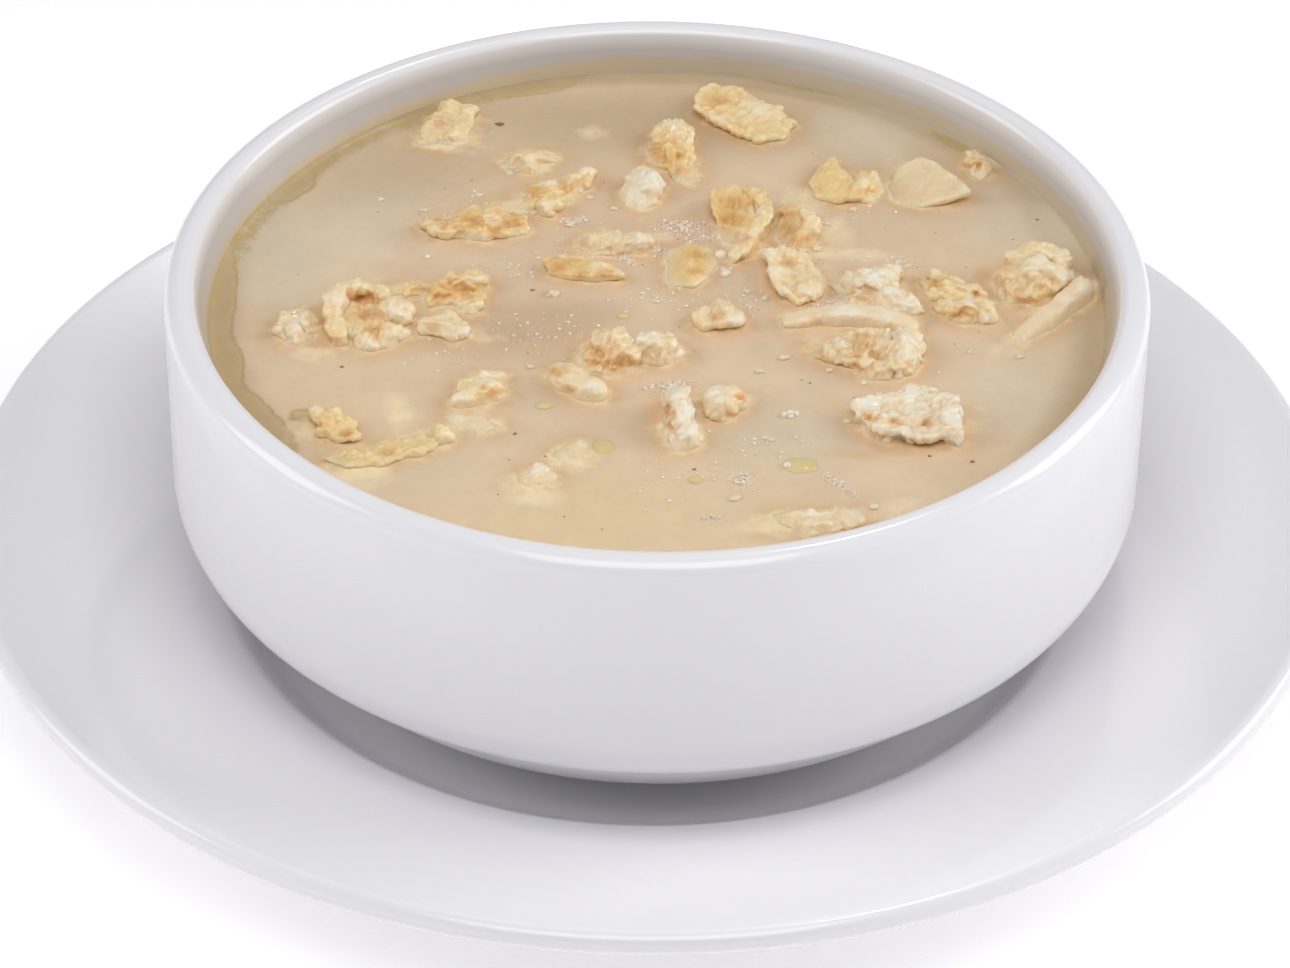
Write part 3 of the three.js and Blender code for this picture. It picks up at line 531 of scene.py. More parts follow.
bump = add_node(tree, "ShaderNodeBump", {"Height": relief.outputs["Value"], "Distance": 0.18 * MM})
bump.inputs["Strength"].default_value = 0.7
tree.links.new(bump.outputs["Normal"], shader.inputs["Normal"])


def fade(value, low, high):
    """0 below low, 1 above high, and smooth between them."""
    t = np.clip((value - low) / (high - low), 0, 1)
    return t * t * (3 - 2 * t)


def set_values(mesh, name, values):
    """A number for each vertex, which a material reads by name."""
    attribute = mesh.attributes.new(name, "FLOAT", "POINT")
    attribute.data.foreach_set("value", np.asarray(values, np.float32))


def vertex_array(mesh, part="co"):
    """The places or normals of a mesh's vertices, as rows."""
    flat = np.zeros(len(mesh.vertices) * 3, np.float32)
    source = mesh.vertices if part == "co" else mesh.vertex_normals
    source.foreach_get("co" if part == "co" else "vector", flat)
    return flat.reshape(-1, 3).astype(float)


def near(points, spots):
    """How much each point is at one of the spots, from 0 to 1."""
    share = np.zeros(len(points))
    for x, y, radius in spots:
        away = np.hypot(points[:, 0] - x, points[:, 1] - y)
        share = np.maximum(share, np.exp(-((away / radius) ** 2)))
    return share


def cooked(node, seed, fold, tone, white, amber, rough=1, soaked=0, grow=0, lift=0):
    """A tripe piece from its CAD solid: remeshed finely, rounded, and given bends, pleats and curds. It
    spreads a little where it enters the broth, so that no gap shows round it."""
    bm = bmesh.new()
    bm.from_mesh(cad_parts[node].data)
    bmesh.ops.remove_doubles(bm, verts=bm.verts[:], dist=0.001 * MM)
    piece = new_piece(node + "_cooked", bm, boiled_tripe)
    for kind, settings in (
        ("REMESH", {"mode": "VOXEL", "voxel_size": VOXEL * MM, "use_smooth_shade": True}),
        ("SMOOTH", {"factor": 0.5, "iterations": 4}),
    ):
        modifier = piece.modifiers.new(kind.lower(), kind)
        for name, value in settings.items():
            setattr(modifier, name, value)
    shaped = bpy.data.meshes.new_from_object(piece.evaluated_get(bpy.context.evaluated_depsgraph_get()))
    piece.modifiers.clear()
    piece.data = shaped
    places = vertex_array(shaped)
    normals = vertex_array(shaped, "normal")
    in_bowl = places / MM - [BOWL_X, 0, SOUP_LEVEL]
    seen = in_bowl[:, :2] + [0, SEEN_BACK_PER_HEIGHT] * in_bowl[:, 2:3]
    whiter = near(seen, white)
    deeper = near(seen, amber)
    along = Matrix.Rotation(math.radians(-fold), 3, "Z")
    shift = Vector((seed * 3.7, seed * 1.9, 0))
    rise = np.zeros(len(places))
    crease = np.zeros(len(places))
    between = np.zeros(len(places))
    bend = np.zeros((len(places), 3))
    for i, p in enumerate(in_bowl):
        at = Vector(p) + shift
        bend[i] = (noise.noise_vector(at / BEND_LENGTH) * (0.2 + 0.6 * rough)
                   + noise.noise_vector(at / WRINKLE_LENGTH) * (0.1 + 0.25 * rough))
        turned_at = along @ (at + Vector(bend[i]))
        lobe_at = Vector((turned_at.x / LOBE_LENGTH, turned_at.y / LOBE_WIDTH, turned_at.z / LOBE_LENGTH))
        first, second = noise.voronoi(lobe_at)[0][:2]
        crease[i] = 1 - min(1, (second - first) / 0.5)
        buds = noise.voronoi(at / CURD)[0][0]
        curds = 0.15 * buds + 0.08 * noise.voronoi(at / SMALL_CURD)[0][0]
        between[i] = fade(buds, 0.5, 0.8)
        pleat_at = Vector((turned_at.x / PLEAT_LENGTH, turned_at.y / PLEAT_WIDTH, turned_at.z / PLEAT_HEIGHT))
        pleats = abs(noise.noise(pleat_at)) - 0.2
        rise[i] = 0.2 * (0.45 - first) - curds + 0.14 + 0.25 * noise.noise(at * 0.75) + 0.55 * pleats
    rise = rough * (rise - 0.14 * crease) + 0.18 * whiter - 0.5 * rough * deeper + SWELL + grow
    at_broth = fade(-in_bowl[:, 2], -0.8, 0.2)
    rise *= 1 - 0.5 * at_broth
    flare = 0.4 * at_broth
    places += (normals * (rise[:, None] + flare[:, None] * [1, 1, 0]) + bend * [1, 1, 0.4]) * MM
    places[:, 2] += lift * MM
    shaped.vertices.foreach_set("co", places.astype(np.float32).ravel())
    shaped.update()
    height = places[:, 2] / MM - SOUP_LEVEL
    # Paler on marked spots, raised curds and tops, partly a painted highlight; amber on marked spots, in
    # creases and between curds, partly a painted shade.
    pale = 0.8 * whiter + 0.2 * fade(rise, 0.1, 0.4) + 0.2 * fade(height, 1.4, 3.4)
    dark = 0.9 * deeper + rough * (0.2 * fade(crease, 0.5, 1) + 0.15 * between) * (1 - whiter)
    set_values(shaped, "white", np.clip(pale, 0, 1))
    set_values(shaped, "amber", np.clip(dark, 0, 1))
    set_values(shaped, "tone", np.full(len(places), 0.5 + 0.5 * tone))
    # The band at the waterline is coloured like broth and painted lighter, to lift its shade.
    dunked = 0.95 * fade(-height, -1.1, 0.1)
    set_values(shaped, "wet", np.clip(np.maximum(dunked, soaked * (1 - 0.9 * whiter)), 0, 1))
    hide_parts(node)
    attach(piece, "root")
    return piece


# noise_vector starts from the clock unless it is seeded, and each run would bend the tripe another way.
noise.seed_set(3)
tripe_pieces = [cooked(node, seed, **marks) for seed, (node, marks) in enumerate(MARKS.items())]

# The soup is a thick white broth of milk, flour and egg yolk, filled to 6.5 mm under the rim. Melted fat
# lies on it as an olive film along the left wall, it is painted darker towards the wall at the back and
# the sides as painted shade, and tripe just under the surface shows as pale ghosts. It climbs the wall
# and each piece a little.

WALL_CLIMB = 0.6
EDGE_RADIUS = SOUP_RADIUS + 0.4  # runs into the wall, so that no gap shows
BROTH_RINGS = 150

# Patches of the surface in mm from the bowl's axis: [x, y, half length, half width, turn in degrees, share].
# They are the film of fat, broth that is whiter in tone and partly painted sheen, pinker and yellower
# broth, darker broth that is painted shade, warm amber broth that is painted shade beside the pieces over
# tripe seen below, froth, and tripe that lies just under the surface.
FAT_FILM = [
    [-58, 2, 14, 2, 92, 1], [-56.4, -12, 8, 2.1, 104, 1], [-50.8, -25.8, 9, 2.2, 120, 0.95],
    [-45, -25, 2.6, 1.5, 0, 0.8], [-50.8, 29.5, 5, 3, 58, 1], [-45.5, 39, 6, 1.2, 48, 0.8],
    [-33.5, 50.5, 4, 1.6, 35, 0.9], [-19, 55.4, 8, 1.9, 16, 1], [20, 55.8, 8, 0.7, -20, 0.5],
    [41, 42, 5, 1.2, -46, 0.6],
]
# Paler, greyer broth: partly its own milky tone and partly a painted sheen, most at the left and right.
MILKY = [
    [-51, 12, 6, 12, 10, 0.9], [29, 44, 7, 5, -40, 0.8], [54, 21, 4, 6, 20, 0.7], [15, -28, 9, 6, 0, 0.6],
    [-30, -38, 10, 5, -20, 0.4], [44, -20, 8, 6, 50, 0.5], [-38, 20, 8, 8, 0, 0.4], [48, 20, 6, 9, 20, 0.4],
]
PINKISH = [
    [0, 16, 20, 9, 0, 0.8], [-17, -5, 14, 7, 10, 1], [30, 16, 12, 8, -10, 0.45], [12, -4, 12, 6, 0, 0.5],
]
YELLOWISH = [
    [-10, -46, 26, 12, 0, 0.9], [-40, -20, 8, 12, 20, 0.5],
]
# Painted shade: darker broth near the back and side walls, and a darker patch left of the middle.
SHADE_PATCHES = [
    [-17, -4, 11, 6, 10, 0.45], [-36, 34, 14, 9, 40, 0.7], [0, 48, 34, 9, 0, 0.9],
    [34, 36, 14, 9, -40, 0.6],
]
# Painted warm shade beside the pieces, over tripe seen amber through the broth.
WARM_SHADE_PATCHES = [
    [-1.5, 36.2, 2.4, 1.4, -40, 0.6], [2.5, 32.6, 2.6, 1, -50, 0.6], [-19.4, 35.2, 2.6, 1.1, 0, 0.4],
    [-27.6, 21, 3, 1.1, 0, 0.4], [-17.4, 21.4, 2.6, 1.2, 20, 0.5], [-44.8, -5, 1.8, 3.8, 0, 0.9],
    [-7.5, 13, 3, 1.3, 0, 0.5], [-14.6, 3.4, 1.2, 0.9, 0, 0.5], [11.2, 14.6, 2.4, 2, 0, 0.45],
    [15.4, 23.6, 2, 2.6, 0, 0.5], [22, 4.4, 3, 2.4, 0, 0.65], [20.4, 8.6, 2, 3, 0, 0.6],
    [25.8, 0.6, 3, 1.5, -20, 0.5], [27, 30.6, 3.4, 2.2, 0, 0.35], [43.9, 8.4, 1.4, 3, 0, 0.55],
    [48.6, 1.4, 3.4, 1.3, -10, 0.45], [34.4, 6.4, 2.4, 2.2, 0, 0.5], [20.4, -8.8, 2.8, 1.5, -30, 0.75],
    [-11.6, -14.4, 1.8, 2.2, 0, 0.45], [0.4, -23.8, 1.6, 2.4, 0, 0.5], [-22.6, -23.2, 3, 1.1, 30, 0.35],
    [8, -24.6, 2.2, 1.2, 0, 0.5], [26.8, -32, 5, 1, 0, 0.3], [15, -48.6, 3.6, 1.3, 20, 0.4],
    [-47, -9, 3, 1, 0, 0.25], [-32, 5.4, 3, 1, 0, 0.3], [0.4, 12.4, 2.4, 2, 0, 0.4],
    [-36, -31.6, 4, 1.6, 20, 0.3], [4, 20.4, 5, 2.4, 0, 0.3], [2, -17.6, 3.4, 1.3, 15, 0.35],
    [-22.4, 26.6, 4, 1.2, 35, 0.3], [-30, -9, 7, 1.4, 0, 0.25], [9.4, -6, 4, 1, 20, 0.25],
    [50, 6, 2, 4, -30, 0.25],
]
FROTH = [
    [3.5, 20, 3.8, 1.8, 0, 1], [-11, 21.5, 1.4, 1, 0, 0.8], [-4.6, 12.2, 3, 0.6, -35, 0.5],
    [0, 14.6, 2.2, 1, 0, 0.5], [6.4, 17.4, 2.6, 0.9, 10, 0.7], [2, -17.4, 2.8, 1, 15, 0.9],
    [24, 2.2, 3, 1.3, -20, 0.7], [11, -38, 1.2, 1.6, 0, 0.6], [23, -38.4, 3.6, 0.7, -50, 0.5],
    [20.4, 11.4, 1.8, 2.6, 0, 0.4],
]
SUNK_TRIPE = [
    [-9, 44, 2.4, 2.2, 0, 0.45], [-37.5, -37, 5, 4, 40, 0.6], [-33, -24, 2.2, 4, 10, 0.6],
    [4, 7, 2, 2.4, 0, 0.6], [-15, -42, 3.4, 2.2, 0, 0.6], [-45, -11, 3, 2, 10, 0.5],
    [24, 14, 9, 1.6, -4, 0.5], [-22, -26, 3.4, 1.6, 0, 0.5], [-41, -37, 4, 2.4, 40, 0.5],
    [-16.5, -39, 3.4, 2.4, 20, 0.6], [17, -47, 6, 2.4, 10, 0.7], [30, -44, 4, 2, 30, 0.5],
    [36.4, 32, 6, 4.4, -40, 0.6], [-30, -30.6, 6, 2.6, 20, 0.7], [48, -6, 6, 2, 45, 0.5],
    [-10, -34, 3.4, 2.6, 30, 0.6], [54.4, 3.4, 6, 1.9, 42, 0.85], [24.6, -1.6, 7.4, 1.8, -3, 0.8],
    [9.6, -20.6, 3.6, 2, 0, 0.7], [-18.6, 24.6, 5.4, 2.2, 38, 0.7], [-28, 44, 4, 6, 0, 0.5],
    [-44, -28, 3.4, 3, 30, 0.6], [-22, -17.4, 4, 2.8, 25, 0.4], [20, 27, 3.4, 4, 0, 0.5],
    [24.4, 19, 2.6, 3.4, 20, 0.6], [-3, 17, 6, 1.6, 8, 0.6], [-26, -5.6, 5, 2, -20, 0.6],
    [4.6, 10.6, 3.4, 4, 0, 0.4], [-35, 1, 6, 5, 0, 0.35], [29, 5, 6, 4, -30, 0.45],
    [40, 3, 5, 3.4, -25, 0.5], [20, 8, 4, 5, 10, 0.35], [-12.6, -16, 3.4, 2.6, -40, 0.5],
    [36, -25, 7, 5, 10, 0.35], [24, -9, 6, 4, 0, 0.4], [12, 48, 6, 4, -20, 0.4], [2, 40, 3, 5, 0, 0.4],
    [46, 38, 3, 3, 0, 0.5], [-18, 37, 5, 2, 10, 0.5],
]

# Creamy broth: stock thickened with flour, milk and egg. The fat and flour in it scatter light about a
# millimetre deep, so its shadows are soft, and the fat on top gives it a satin sheen. Foam draws pale cell
# walls of about half a millimetre on it.
creamy_broth, tree, shader, place = new_material("creamy broth")
film = add_node(tree, "ShaderNodeAttribute", attribute_name="film")
milky = add_node(tree, "ShaderNodeAttribute", attribute_name="milky")
pinkish = add_node(tree, "ShaderNodeAttribute", attribute_name="pinkish")
yellowish = add_node(tree, "ShaderNodeAttribute", attribute_name="yellowish")
painted_shade = add_node(tree, "ShaderNodeAttribute", attribute_name="painted_shade")
warm_shade = add_node(tree, "ShaderNodeAttribute", attribute_name="warm_shade")
ghost = add_node(tree, "ShaderNodeAttribute", attribute_name="ghost")
shallow = add_node(tree, "ShaderNodeAttribute", attribute_name="shallow")
froth = add_node(tree, "ShaderNodeAttribute", attribute_name="froth")
drift = add_node(tree, "ShaderNodeTexNoise", {"Vector": place, "Scale": 1 / (14 * MM), "Detail": 2})
fleck = add_node(tree, "ShaderNodeTexNoise", {"Vector": place, "Scale": 1 / (3 * MM), "Detail": 5,
                                              "Roughness": 0.6})
tones = add_node(tree, "ShaderNodeValToRGB", {"Fac": drift.outputs["Fac"]})
tones.color_ramp.elements[0].position = 0.3
tones.color_ramp.elements[0].color = linear("#E3CCAD")
tones.color_ramp.elements[1].position = 0.7
tones.color_ramp.elements[1].color = linear("#EBD6B8")
colour = tones.outputs["Color"]
# Layers over the base tone: pinker, yellower, painted shade, paler with a painted sheen, and warm painted
# shade.
for share, code in ((pinkish, "#DFC0A0"), (yellowish, "#E9D1AC"), (painted_shade, "#C9B292"), (milky, "#DFD0B6"),
                    (warm_shade, "#DCAE70")):
    layer = add_node(tree, "ShaderNodeMix", {"Factor": share.outputs["Fac"], "B": linear(code)},
                     data_type="RGBA")
    tree.links.new(colour, layer.inputs["A"])
    colour = layer.outputs["Result"]
ragged = add_node(tree, "ShaderNodeTexNoise", {"Vector": place, "Scale": 1 / (3.2 * MM), "Detail": 7,
                                               "Roughness": 0.78})
torn = add_node(tree, "ShaderNodeMath", {0: ragged.outputs["Fac"], 1: 0.9, 2: film.outputs["Fac"]},
                operation="MULTIPLY_ADD")
sheet = add_node(tree, "ShaderNodeMapRange", {"Value": torn.outputs["Value"], "From Min": 0.78,
                                              "From Max": 1.4, "To Max": 1})
rimmed = add_node(tree, "ShaderNodeValToRGB", {"Fac": sheet.outputs["Result"]})
for at, (position, share) in enumerate(((0, 0), (0.3, 0.9), (0.55, 0.45), (1, 0.6))):
    stop = rimmed.color_ramp.elements[at] if at < 2 else rimmed.color_ramp.elements.new(position)
    stop.position = position
    stop.color = (share, share, share, 1)
oiled = add_node(tree, "ShaderNodeMix", {"Factor": rimmed.outputs["Color"], "B": linear("#BFA775")},
                 data_type="RGBA")
tree.links.new(colour, oiled.inputs["A"])
wrinkles = add_node(tree, "ShaderNodeTexNoise", {"Vector": place, "Scale": 1 / (2 * MM), "Detail": 4,
                                                 "Roughness": 0.6})
frayed = add_node(tree, "ShaderNodeMath", {0: wrinkles.outputs["Fac"], 1: 0.9, 2: ghost.outputs["Fac"]},
                  operation="MULTIPLY_ADD")
sunk = add_node(tree, "ShaderNodeMapRange", {"Value": frayed.outputs["Value"], "From Min": 0.62,
                                             "From Max": 1.15, "To Max": 0.85})
haunted = add_node(tree, "ShaderNodeMix", {"Factor": sunk.outputs["Result"], "B": linear("#FAE8C0")},
                   data_type="RGBA")
tree.links.new(oiled.outputs["Result"], haunted.inputs["A"])
cells = add_node(tree, "ShaderNodeTexVoronoi", {"Vector": place, "Scale": 1 / (0.6 * MM)},
                 feature="DISTANCE_TO_EDGE")
walls = add_node(tree, "ShaderNodeMapRange", {"Value": cells.outputs["Distance"], "From Min": 0.16,
                                              "From Max": 0.04})
lace = add_node(tree, "ShaderNodeMix", {"Factor": walls.outputs["Result"], "A": linear("#D2A888"),
                                        "B": linear("#FBF0E0")}, data_type="RGBA")
laced = add_node(tree, "ShaderNodeMath", {0: froth.outputs["Fac"], 1: 0.8}, operation="MULTIPLY")
foamy = add_node(tree, "ShaderNodeMix", {"Factor": laced.outputs["Value"], "A": haunted.outputs["Result"],
                                         "B": lace.outputs["Result"]}, data_type="RGBA")
darker = add_node(tree, "ShaderNodeMapRange", {"Value": fleck.outputs["Fac"], "From Min": 0.3,
                                               "From Max": 0.7, "To Min": 0.96, "To Max": 1.03})
flecked = add_node(tree, "ShaderNodeVectorMath", {0: foamy.outputs["Result"],
                                                  "Scale": darker.outputs["Result"]}, operation="SCALE")
tree.links.new(flecked.outputs["Vector"], shader.inputs["Base Color"])
shader.inputs["Roughness"].default_value = 0.3
shader.inputs["IOR"].default_value = 1.36
lit_through = add_node(tree, "ShaderNodeMath", {0: shallow.outputs["Fac"], 1: -0.7, 2: 0.6},
                       operation="MULTIPLY_ADD", use_clamp=True)
tree.links.new(lit_through.outputs["Value"], shader.inputs["Subsurface Weight"])
shader.inputs["Subsurface Radius"].default_value = (1.0, 0.95, 0.9)
shader.inputs["Subsurface Scale"].default_value = 1.2 * MM
swell = add_node(tree, "ShaderNodeTexNoise", {"Vector": place, "Scale": 1 / (9 * MM), "Detail": 4,
                                              "Roughness": 0.6})
ridges = add_node(tree, "ShaderNodeMath", {0: wrinkles.outputs["Fac"], 1: sunk.outputs["Result"],
                                           2: swell.outputs["Fac"]}, operation="MULTIPLY_ADD")
bump = add_node(tree, "ShaderNodeBump", {"Height": ridges.outputs["Value"], "Distance": 0.5 * MM})
bump.inputs["Strength"].default_value = 0.4
tree.links.new(bump.outputs["Normal"], shader.inputs["Normal"])

# The broth is a turned solid. Below its surface it lies just inside the bowl.
bm = bmesh.new()
middle = bm.verts.new((0, 0, SOUP_LEVEL * MM))
wall = bmesh.ops.extrude_vert_indiv(bm, verts=[middle])["verts"][0]
wall.co.x = EDGE_RADIUS * MM
bmesh.ops.subdivide_edges(bm, edges=bm.edges[:], cuts=BROTH_RINGS)
wall = max(bm.verts, key=lambda vert: vert.co.x)
for radius, height in ((SOUP_RADIUS, SOUP_LEVEL), (56.4, 26.3), (50, 15.5), (44.5, 11.8), (0, 11.6)):
    wall = bmesh.ops.extrude_vert_indiv(bm, verts=[wall])["verts"][0]
    wall.co = (radius * MM, 0, height * MM)
bmesh.ops.spin(bm, geom=bm.verts[:] + bm.edges[:], cent=(0, 0, 0), axis=(0, 0, 1), angle=math.tau, steps=440,
               use_merge=True)
bmesh.ops.remove_doubles(bm, verts=bm.verts[:], dist=0.001 * MM)
bmesh.ops.recalc_face_normals(bm, faces=bm.faces[:])
broth = new_piece("soup_creamy", bm, creamy_broth)


def patches(points, shapes):
    """How much each point lies in one of the soft oval patches, from 0 to 1."""
    share = np.zeros(len(points))
    for x, y, half_length, half_width, turn, most in shapes:
        angle = math.radians(turn)
        across = points - [x, y]
        u = (across[:, 0] * math.cos(angle) + across[:, 1] * math.sin(angle)) / half_length
        v = (across[:, 1] * math.cos(angle) - across[:, 0] * math.sin(angle)) / half_width
        share = np.maximum(share, most * np.exp(-((u * u + v * v) ** 1.5) * 0.7))
    return share


bm = bmesh.new()
for piece in tripe_pieces:
    bm.from_mesh(piece.data)
floating = BVHTree.FromBMesh(bm)
bm.free()

# Near the wall and near each piece the broth climbs and lets less light in. Near each piece it is pinker
# and takes a warm amber painted shade, and it pales over tripe that lies just below. Each of these fades
# over its own distance in mm.
places = vertex_array(broth.data)
radii = np.hypot(places[:, 0], places[:, 1]) / MM
on_top = places[:, 2] > (SOUP_LEVEL - 0.01) * MM
climb = WALL_CLIMB * np.exp(-(EDGE_RADIUS - radii) / 0.7)
ghosts = np.zeros(len(places))
shallow = np.exp(-(EDGE_RADIUS - radii) / 1.5)
amber_shade = np.zeros(len(places))
rosy = np.zeros(len(places))
for i in np.nonzero(on_top)[0]:
    at = Vector((places[i, 0] + BOWL_X * MM, places[i, 1], places[i, 2]))
    hit, normal, _, depth = floating.ray_cast(at, Vector((0, 0, -1)), 4 * MM)
    if hit is not None and normal.z > 0:
        ghosts[i] = 0.85 * math.exp(-depth / MM / 0.8)
    touch, _, _, away = floating.find_nearest(at, 10 * MM)
    if touch is not None:
        climb[i] += 0.14 * math.exp(-away / MM / 0.6)
        shallow[i] = max(shallow[i], math.exp(-away / MM / 1.2))
        ghosts[i] = max(ghosts[i], 0.5 * math.exp(-away / MM), 0.15 * math.exp(-(away / MM / 2.2) ** 2))
        # Painted shade: a warm amber ring round each piece.
        amber_shade[i] = 0.45 * math.exp(-(away / MM / 1.6) ** 2)
        rosy[i] = 0.6 * math.exp(-(away / MM / 4.5) ** 2)
places[:, 2] += np.where(on_top, climb, 0) * MM
places[:, 0] += BOWL_X * MM
broth.data.vertices.foreach_set("co", places.astype(np.float32).ravel())
broth.data.update()
broth.data.set_sharp_from_angle(angle=math.radians(50))
plan = places[:, :2] / MM - [BOWL_X, 0]
by_wall = fade(radii, 53.5, 58.4)
set_values(broth.data, "film", np.maximum(patches(plan, FAT_FILM), 0.5 * by_wall * fade(-plan[:, 0], 0, 25)))
set_values(broth.data, "milky", patches(plan, MILKY))
set_values(broth.data, "pinkish", np.maximum(patches(plan, PINKISH), rosy))
set_values(broth.data, "yellowish", patches(plan, YELLOWISH))
# Painted shade along the wall, all round but the front.
set_values(broth.data, "painted_shade", np.maximum(patches(plan, SHADE_PATCHES), by_wall * fade(plan[:, 1], -42, -20)))
set_values(broth.data, "warm_shade", np.maximum(patches(plan, WARM_SHADE_PATCHES), amber_shade))
set_values(broth.data, "froth", patches(plan, FROTH))
set_values(broth.data, "ghost", np.maximum(ghosts, patches(plan, SUNK_TRIPE)))
set_values(broth.data, "shallow", shallow)
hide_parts("soup")
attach(broth, "root")

# Bubbles and fine foam, left where the soup was ladled in. Each is a thin dome of broth round air, from a
# fifth of a millimetre to nearly two across, and is made as a small ball sunk by half.

# [x, y, half length, half width, turn in degrees, number], in mm from the bowl's axis.
FOAM = [
    [3.5, 20, 3.6, 1.7, 0, 90], [-11, 21.5, 1.2, 0.9, 0, 20], [-4.6, 12.2, 3.4, 0.7, -35, 60],
    [6.4, 17.4, 2.6, 0.8, 10, 40], [0, 14.6, 2, 1, 0, 40], [2, -17.4, 2.6, 0.9, 15, 70],
    [11, -38, 1.2, 1.5, 0, 50], [23, -38.4, 3.6, 0.7, -50, 60], [22, 21, 2.4, 0.7, 0, 40],
    [17.4, 16.6, 1.6, 1, 0, 40], [7, -46, 1.4, 0.8, 0, 30], [24, 1.6, 2.6, 1.2, -20, 90],
    [-15, -6, 7, 5, 0, 70], [9.5, 9.6, 1.2, 0.8, 0, 20], [-20, 9, 5, 3, 0, 40], [12, 2, 4, 3, 0, 34],
    [15, -30, 4, 3, 0, 36], [0, 3, 8, 4, 0, 60], [30, 24, 4, 4, 0, 20], [-27, 24, 6, 5, 0, 24],
    [32, 12.4, 3.4, 1.2, 0, 34], [4, -36, 9, 6, 0, 50], [18.6, 12.4, 1.4, 3, 0, 34], [-12, 14, 8, 6, 0, 50],
    [-30, -12, 8, 6, 0, 30], [30, -20, 10, 8, 0, 20],
]
LONE_BUBBLES = [
    [17.3, -23.6, 1.3], [16.6, -23.8, 1], [18, -23.5, 1], [17.4, -24.1, 0.9], [8.5, 13, 1.7], [9, 8.5, 1.1],
    [16.8, -34.9, 1.1], [-8, -7, 0.8], [-31, 12, 0.7], [27, -16.4, 0.7], [41, -9, 0.6],
]

# Broth bubbles: a skin of broth stretched thin. It is paler than the broth, smooth and wet.
thin_bubble, tree, shader, place = new_material("broth bubbles")
shader.inputs["Base Color"].default_value = linear("#F8EAD6")
shader.inputs["Roughness"].default_value = 0.1
shader.inputs["IOR"].default_value = 1.33
shader.inputs["Subsurface Weight"].default_value = 0.6
shader.inputs["Subsurface Radius"].default_value = (1.0, 0.95, 0.9)
shader.inputs["Subsurface Scale"].default_value = 0.3 * MM
shader.inputs["Coat Weight"].default_value = 0.6
shader.inputs["Coat Roughness"].default_value = 0.03
thin = add_node(tree, "ShaderNodeTexNoise", {"Vector": place, "Scale": 1 / (0.8 * MM)})
bump = add_node(tree, "ShaderNodeBump", {"Height": thin.outputs["Fac"], "Distance": 0.01 * MM})
tree.links.new(bump.outputs["Normal"], shader.inputs["Normal"])

seeded = random.Random(7)
bubbles = [[x, y, size] for x, y, size in LONE_BUBBLES]
for x, y, half_length, half_width, turn, number in FOAM:
    angle = math.radians(turn)
    for _ in range(number):
        u = seeded.gauss(0, 0.55) * half_length
        v = seeded.gauss(0, 0.55) * half_width
        size = 0.18 + 0.38 * seeded.random() ** 3
        bubbles.append([x + u * math.cos(angle) - v * math.sin(angle),
                        y + u * math.sin(angle) + v * math.cos(angle), size])
bm = bmesh.new()
for x, y, size in bubbles:
    dome = bmesh.new()
    centre = Vector(((BOWL_X + x) * MM, y * MM, (SOUP_LEVEL + 0.1 * size) * MM))
    bmesh.ops.create_icosphere(dome, subdivisions=3 if size > 0.6 else 2, radius=size / 2 * MM,
                               matrix=Matrix.Translation(centre))
    blown = bpy.data.meshes.new("bubble")
    dome.to_mesh(blown)
    dome.free()
    bm.from_mesh(blown)
    bpy.data.meshes.remove(blown)
foam = new_piece("foam_and_bubbles", bm, thin_bubble)
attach(foam, "root")

# Drops of fat that melted out of the tripe as it boiled. They float on the soup as flat clear lenses, olive
# yellow, up to five millimetres long.

# [x, y, length, width] in mm from the bowl's axis.
FAT_DROPS = [
    [-14.4, -22.2, 2.2, 1.6], [-6.7, -31, 2.9, 3], [18.4, -34.6, 4.6, 3.4], [5.2, -38, 2, 1.7],
    [-4.5, -1.5, 1.6, 1.2], [-30, -33, 1.5, 1.1], [-47, -2, 1.3, 1],
]

# Melted fat: tallow that has taken colour from the broth. It is clear, smooth and glossy.
melted_fat, tree, shader, place = new_material("melted fat")
cloud = add_node(tree, "ShaderNodeTexNoise", {"Vector": place, "Scale": 1 / (2 * MM), "Detail": 2})
tint = add_node(tree, "ShaderNodeMix", {"Factor": cloud.outputs["Fac"], "A": linear("#DFC88C"),
                                        "B": linear("#EAD6A2")}, data_type="RGBA")
tree.links.new(tint.outputs["Result"], shader.inputs["Base Color"])
shader.inputs["Roughness"].default_value = 0.05
shader.inputs["IOR"].default_value = 1.46
shader.inputs["Subsurface Weight"].default_value = 0.4
shader.inputs["Subsurface Scale"].default_value = 0.8 * MM

bm = bmesh.new()
for x, y, length, width in FAT_DROPS:
    drop = bmesh.ops.create_uvsphere(bm, u_segments=32, v_segments=16, radius=0.5 * MM)["verts"]
    bmesh.ops.scale(bm, verts=drop, vec=(length, width, 0.7))
    bmesh.ops.translate(bm, verts=drop, vec=((BOWL_X + x) * MM, y * MM, (SOUP_LEVEL - 0.02) * MM))
drops = new_piece("fat_drops", bm, melted_fat)
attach(drops, "root")

# Crumbs of the same tripe, rubbed off as it was stirred. They float half sunk, about a millimetre and a
# half long.

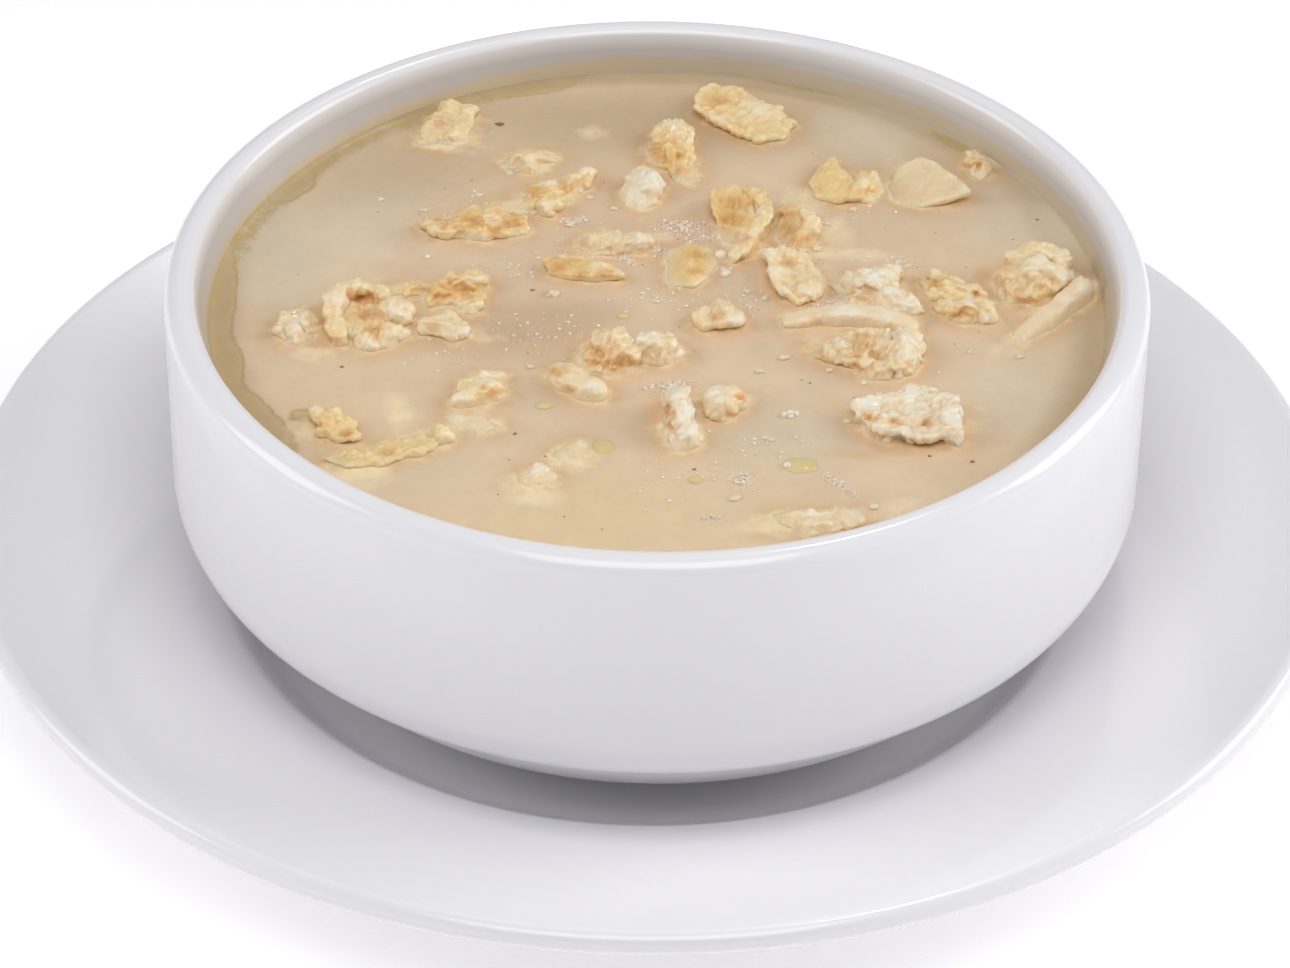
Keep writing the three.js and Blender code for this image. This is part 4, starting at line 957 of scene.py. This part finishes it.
# [x, y, length, width, turn in degrees], in mm from the bowl's axis.
CRUMBS = [
    [-11.8, 20.4, 1.4, 1, 20], [-13.8, 3.4, 1.5, 1.3, 0], [-32, 23.4, 1.2, 0.8, 0], [-38, 26, 1, 0.8, 0],
    [22.6, -13.6, 1, 0.8, 0], [13.4, -14, 1, 0.8, 0], [16.6, -10.8, 1.4, 0.9, 10],
    [-46.6, -0.6, 1.2, 0.8, 20], [-24.6, 27.4, 1.4, 0.8, 0], [21.6, 15, 1.4, 1.1, 0],
    [19.4, 14.4, 1.6, 1.2, 40], [14.4, 3, 1.3, 0.9, 60], [26.6, 24.8, 1.3, 0.8, 0], [-9.4, 27, 1.2, 0.8, 0],
    [-6, 24.4, 1.1, 0.9, 0], [27.6, -43.4, 1.3, 0.9, 30], [10, -42, 1.6, 1, 20], [24.6, -25, 1.2, 0.8, 0],
    [47.6, -10, 1.1, 0.8, 0], [33.6, 11, 1.3, 0.9, 0], [-16.4, -13.6, 1, 0.7, 0], [14, 20.8, 1.5, 1, 60],
    [-40, -26, 1.2, 0.8, 0], [-17, 23, 1.4, 1, 0], [12, 4.6, 1, 0.8, 0], [-20.6, 33, 1.2, 0.8, 0],
    [24, 0.2, 1.6, 1, -20],
]

bm = bmesh.new()
for at, (x, y, length, width, turn) in enumerate(CRUMBS):
    crumb = bmesh.ops.create_icosphere(bm, subdivisions=4, radius=0.5 * MM)["verts"]
    for vert in crumb:
        grown = 1 + 0.45 * noise.noise(vert.co / (0.34 * MM) + Vector((at * 5, 0, 0)))
        vert.co = Vector((vert.co.x * length, vert.co.y * width, vert.co.z * width * 0.8)) * grown
    bmesh.ops.rotate(bm, verts=crumb, matrix=Matrix.Rotation(math.radians(turn), 3, "Z"))
    bmesh.ops.translate(bm, verts=crumb, vec=((BOWL_X + x) * MM, y * MM, (SOUP_LEVEL + 0.05) * MM))
crumbs = new_piece("tripe_crumbs", bm, boiled_tripe)
lift = vertex_array(crumbs.data)[:, 2] / MM - SOUP_LEVEL
# Paler on top, a painted highlight, and amber at and under the waterline, a painted shade.
set_values(crumbs.data, "white", 0.3 * fade(lift, 0, 0.5))
set_values(crumbs.data, "amber", 0.3 * fade(-lift, -0.2, 0.1))
set_values(crumbs.data, "tone", np.full(len(lift), 0.4))
set_values(crumbs.data, "wet", 0.5 + 0.45 * fade(-lift, -0.3, 0.05))
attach(crumbs, "root")

# Specks: ground pepper and paprika, a scrap of herb and burnt crumbs, from a few tenths of a millimetre to
# one across. They lie on the broth, strewn by hand.

# [x, y, size] in mm from the bowl's axis, and the kind.
SPECKS = [
    [-22.3, 45.8, 1.1, "herb"], [40.4, -33.4, 0.7, "paprika"], [35, -32.3, 0.5, "pepper"],
    [5, -35.8, 0.5, "pepper"], [51.7, 23, 0.4, "pepper"], [-41, -14, 0.6, "burnt"],
    [-18, -28.5, 0.6, "burnt"], [-16.6, 4.4, 0.6, "burnt"], [9.6, -1.4, 0.35, "pepper"],
    [-41.8, -23.6, 0.4, "pepper"], [30.6, -20, 0.5, "burnt"], [-14, -33.4, 0.5, "burnt"],
    [20, -16.4, 0.35, "pepper"],
]
SPECK_COLOURS = {"herb": "#5C5A2C", "paprika": "#9A4A2A", "pepper": "#6A5238", "burnt": "#9A7040"}
STREWN = 70
STREWN_WITHIN = 52

for _ in range(STREWN):
    away = STREWN_WITHIN * math.sqrt(seeded.random())
    angle = math.tau * seeded.random()
    SPECKS.append([away * math.cos(angle), away * math.sin(angle), 0.14 + 0.16 * seeded.random(),
                   seeded.choice(["pepper", "burnt", "burnt"])])

# Ground spice: dried leaf, pod or berry crushed to grit. It is matt, and mottled with paler husk.
for kind, code in SPECK_COLOURS.items():
    spice, tree, shader, place = new_material("ground " + kind)
    uneven = add_node(tree, "ShaderNodeTexNoise", {"Vector": place, "Scale": 1 / (0.3 * MM)})
    tint = add_node(tree, "ShaderNodeMix", {"Factor": uneven.outputs["Fac"], "A": linear(code),
                                            "B": linear("#A98A5E")}, data_type="RGBA")
    tree.links.new(tint.outputs["Result"], shader.inputs["Base Color"])
    shader.inputs["Roughness"].default_value = 0.45
    bm = bmesh.new()
    for x, y, size, its_kind in SPECKS:
        if its_kind == kind:
            bit = bmesh.ops.create_icosphere(bm, subdivisions=2, radius=0.5 * MM)["verts"]
            for vert in bit:
                grown = 1 + 0.8 * noise.noise(vert.co / (0.4 * MM) + Vector((x, y, 0)))
                vert.co = Vector((vert.co.x, vert.co.y * 0.7, vert.co.z * 0.4)) * grown * size
            bmesh.ops.translate(bm, verts=bit, vec=((BOWL_X + x) * MM, y * MM, (SOUP_LEVEL + 0.02) * MM))
    specks = new_piece("specks_of_" + kind, bm, spice)
    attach(specks, "root")
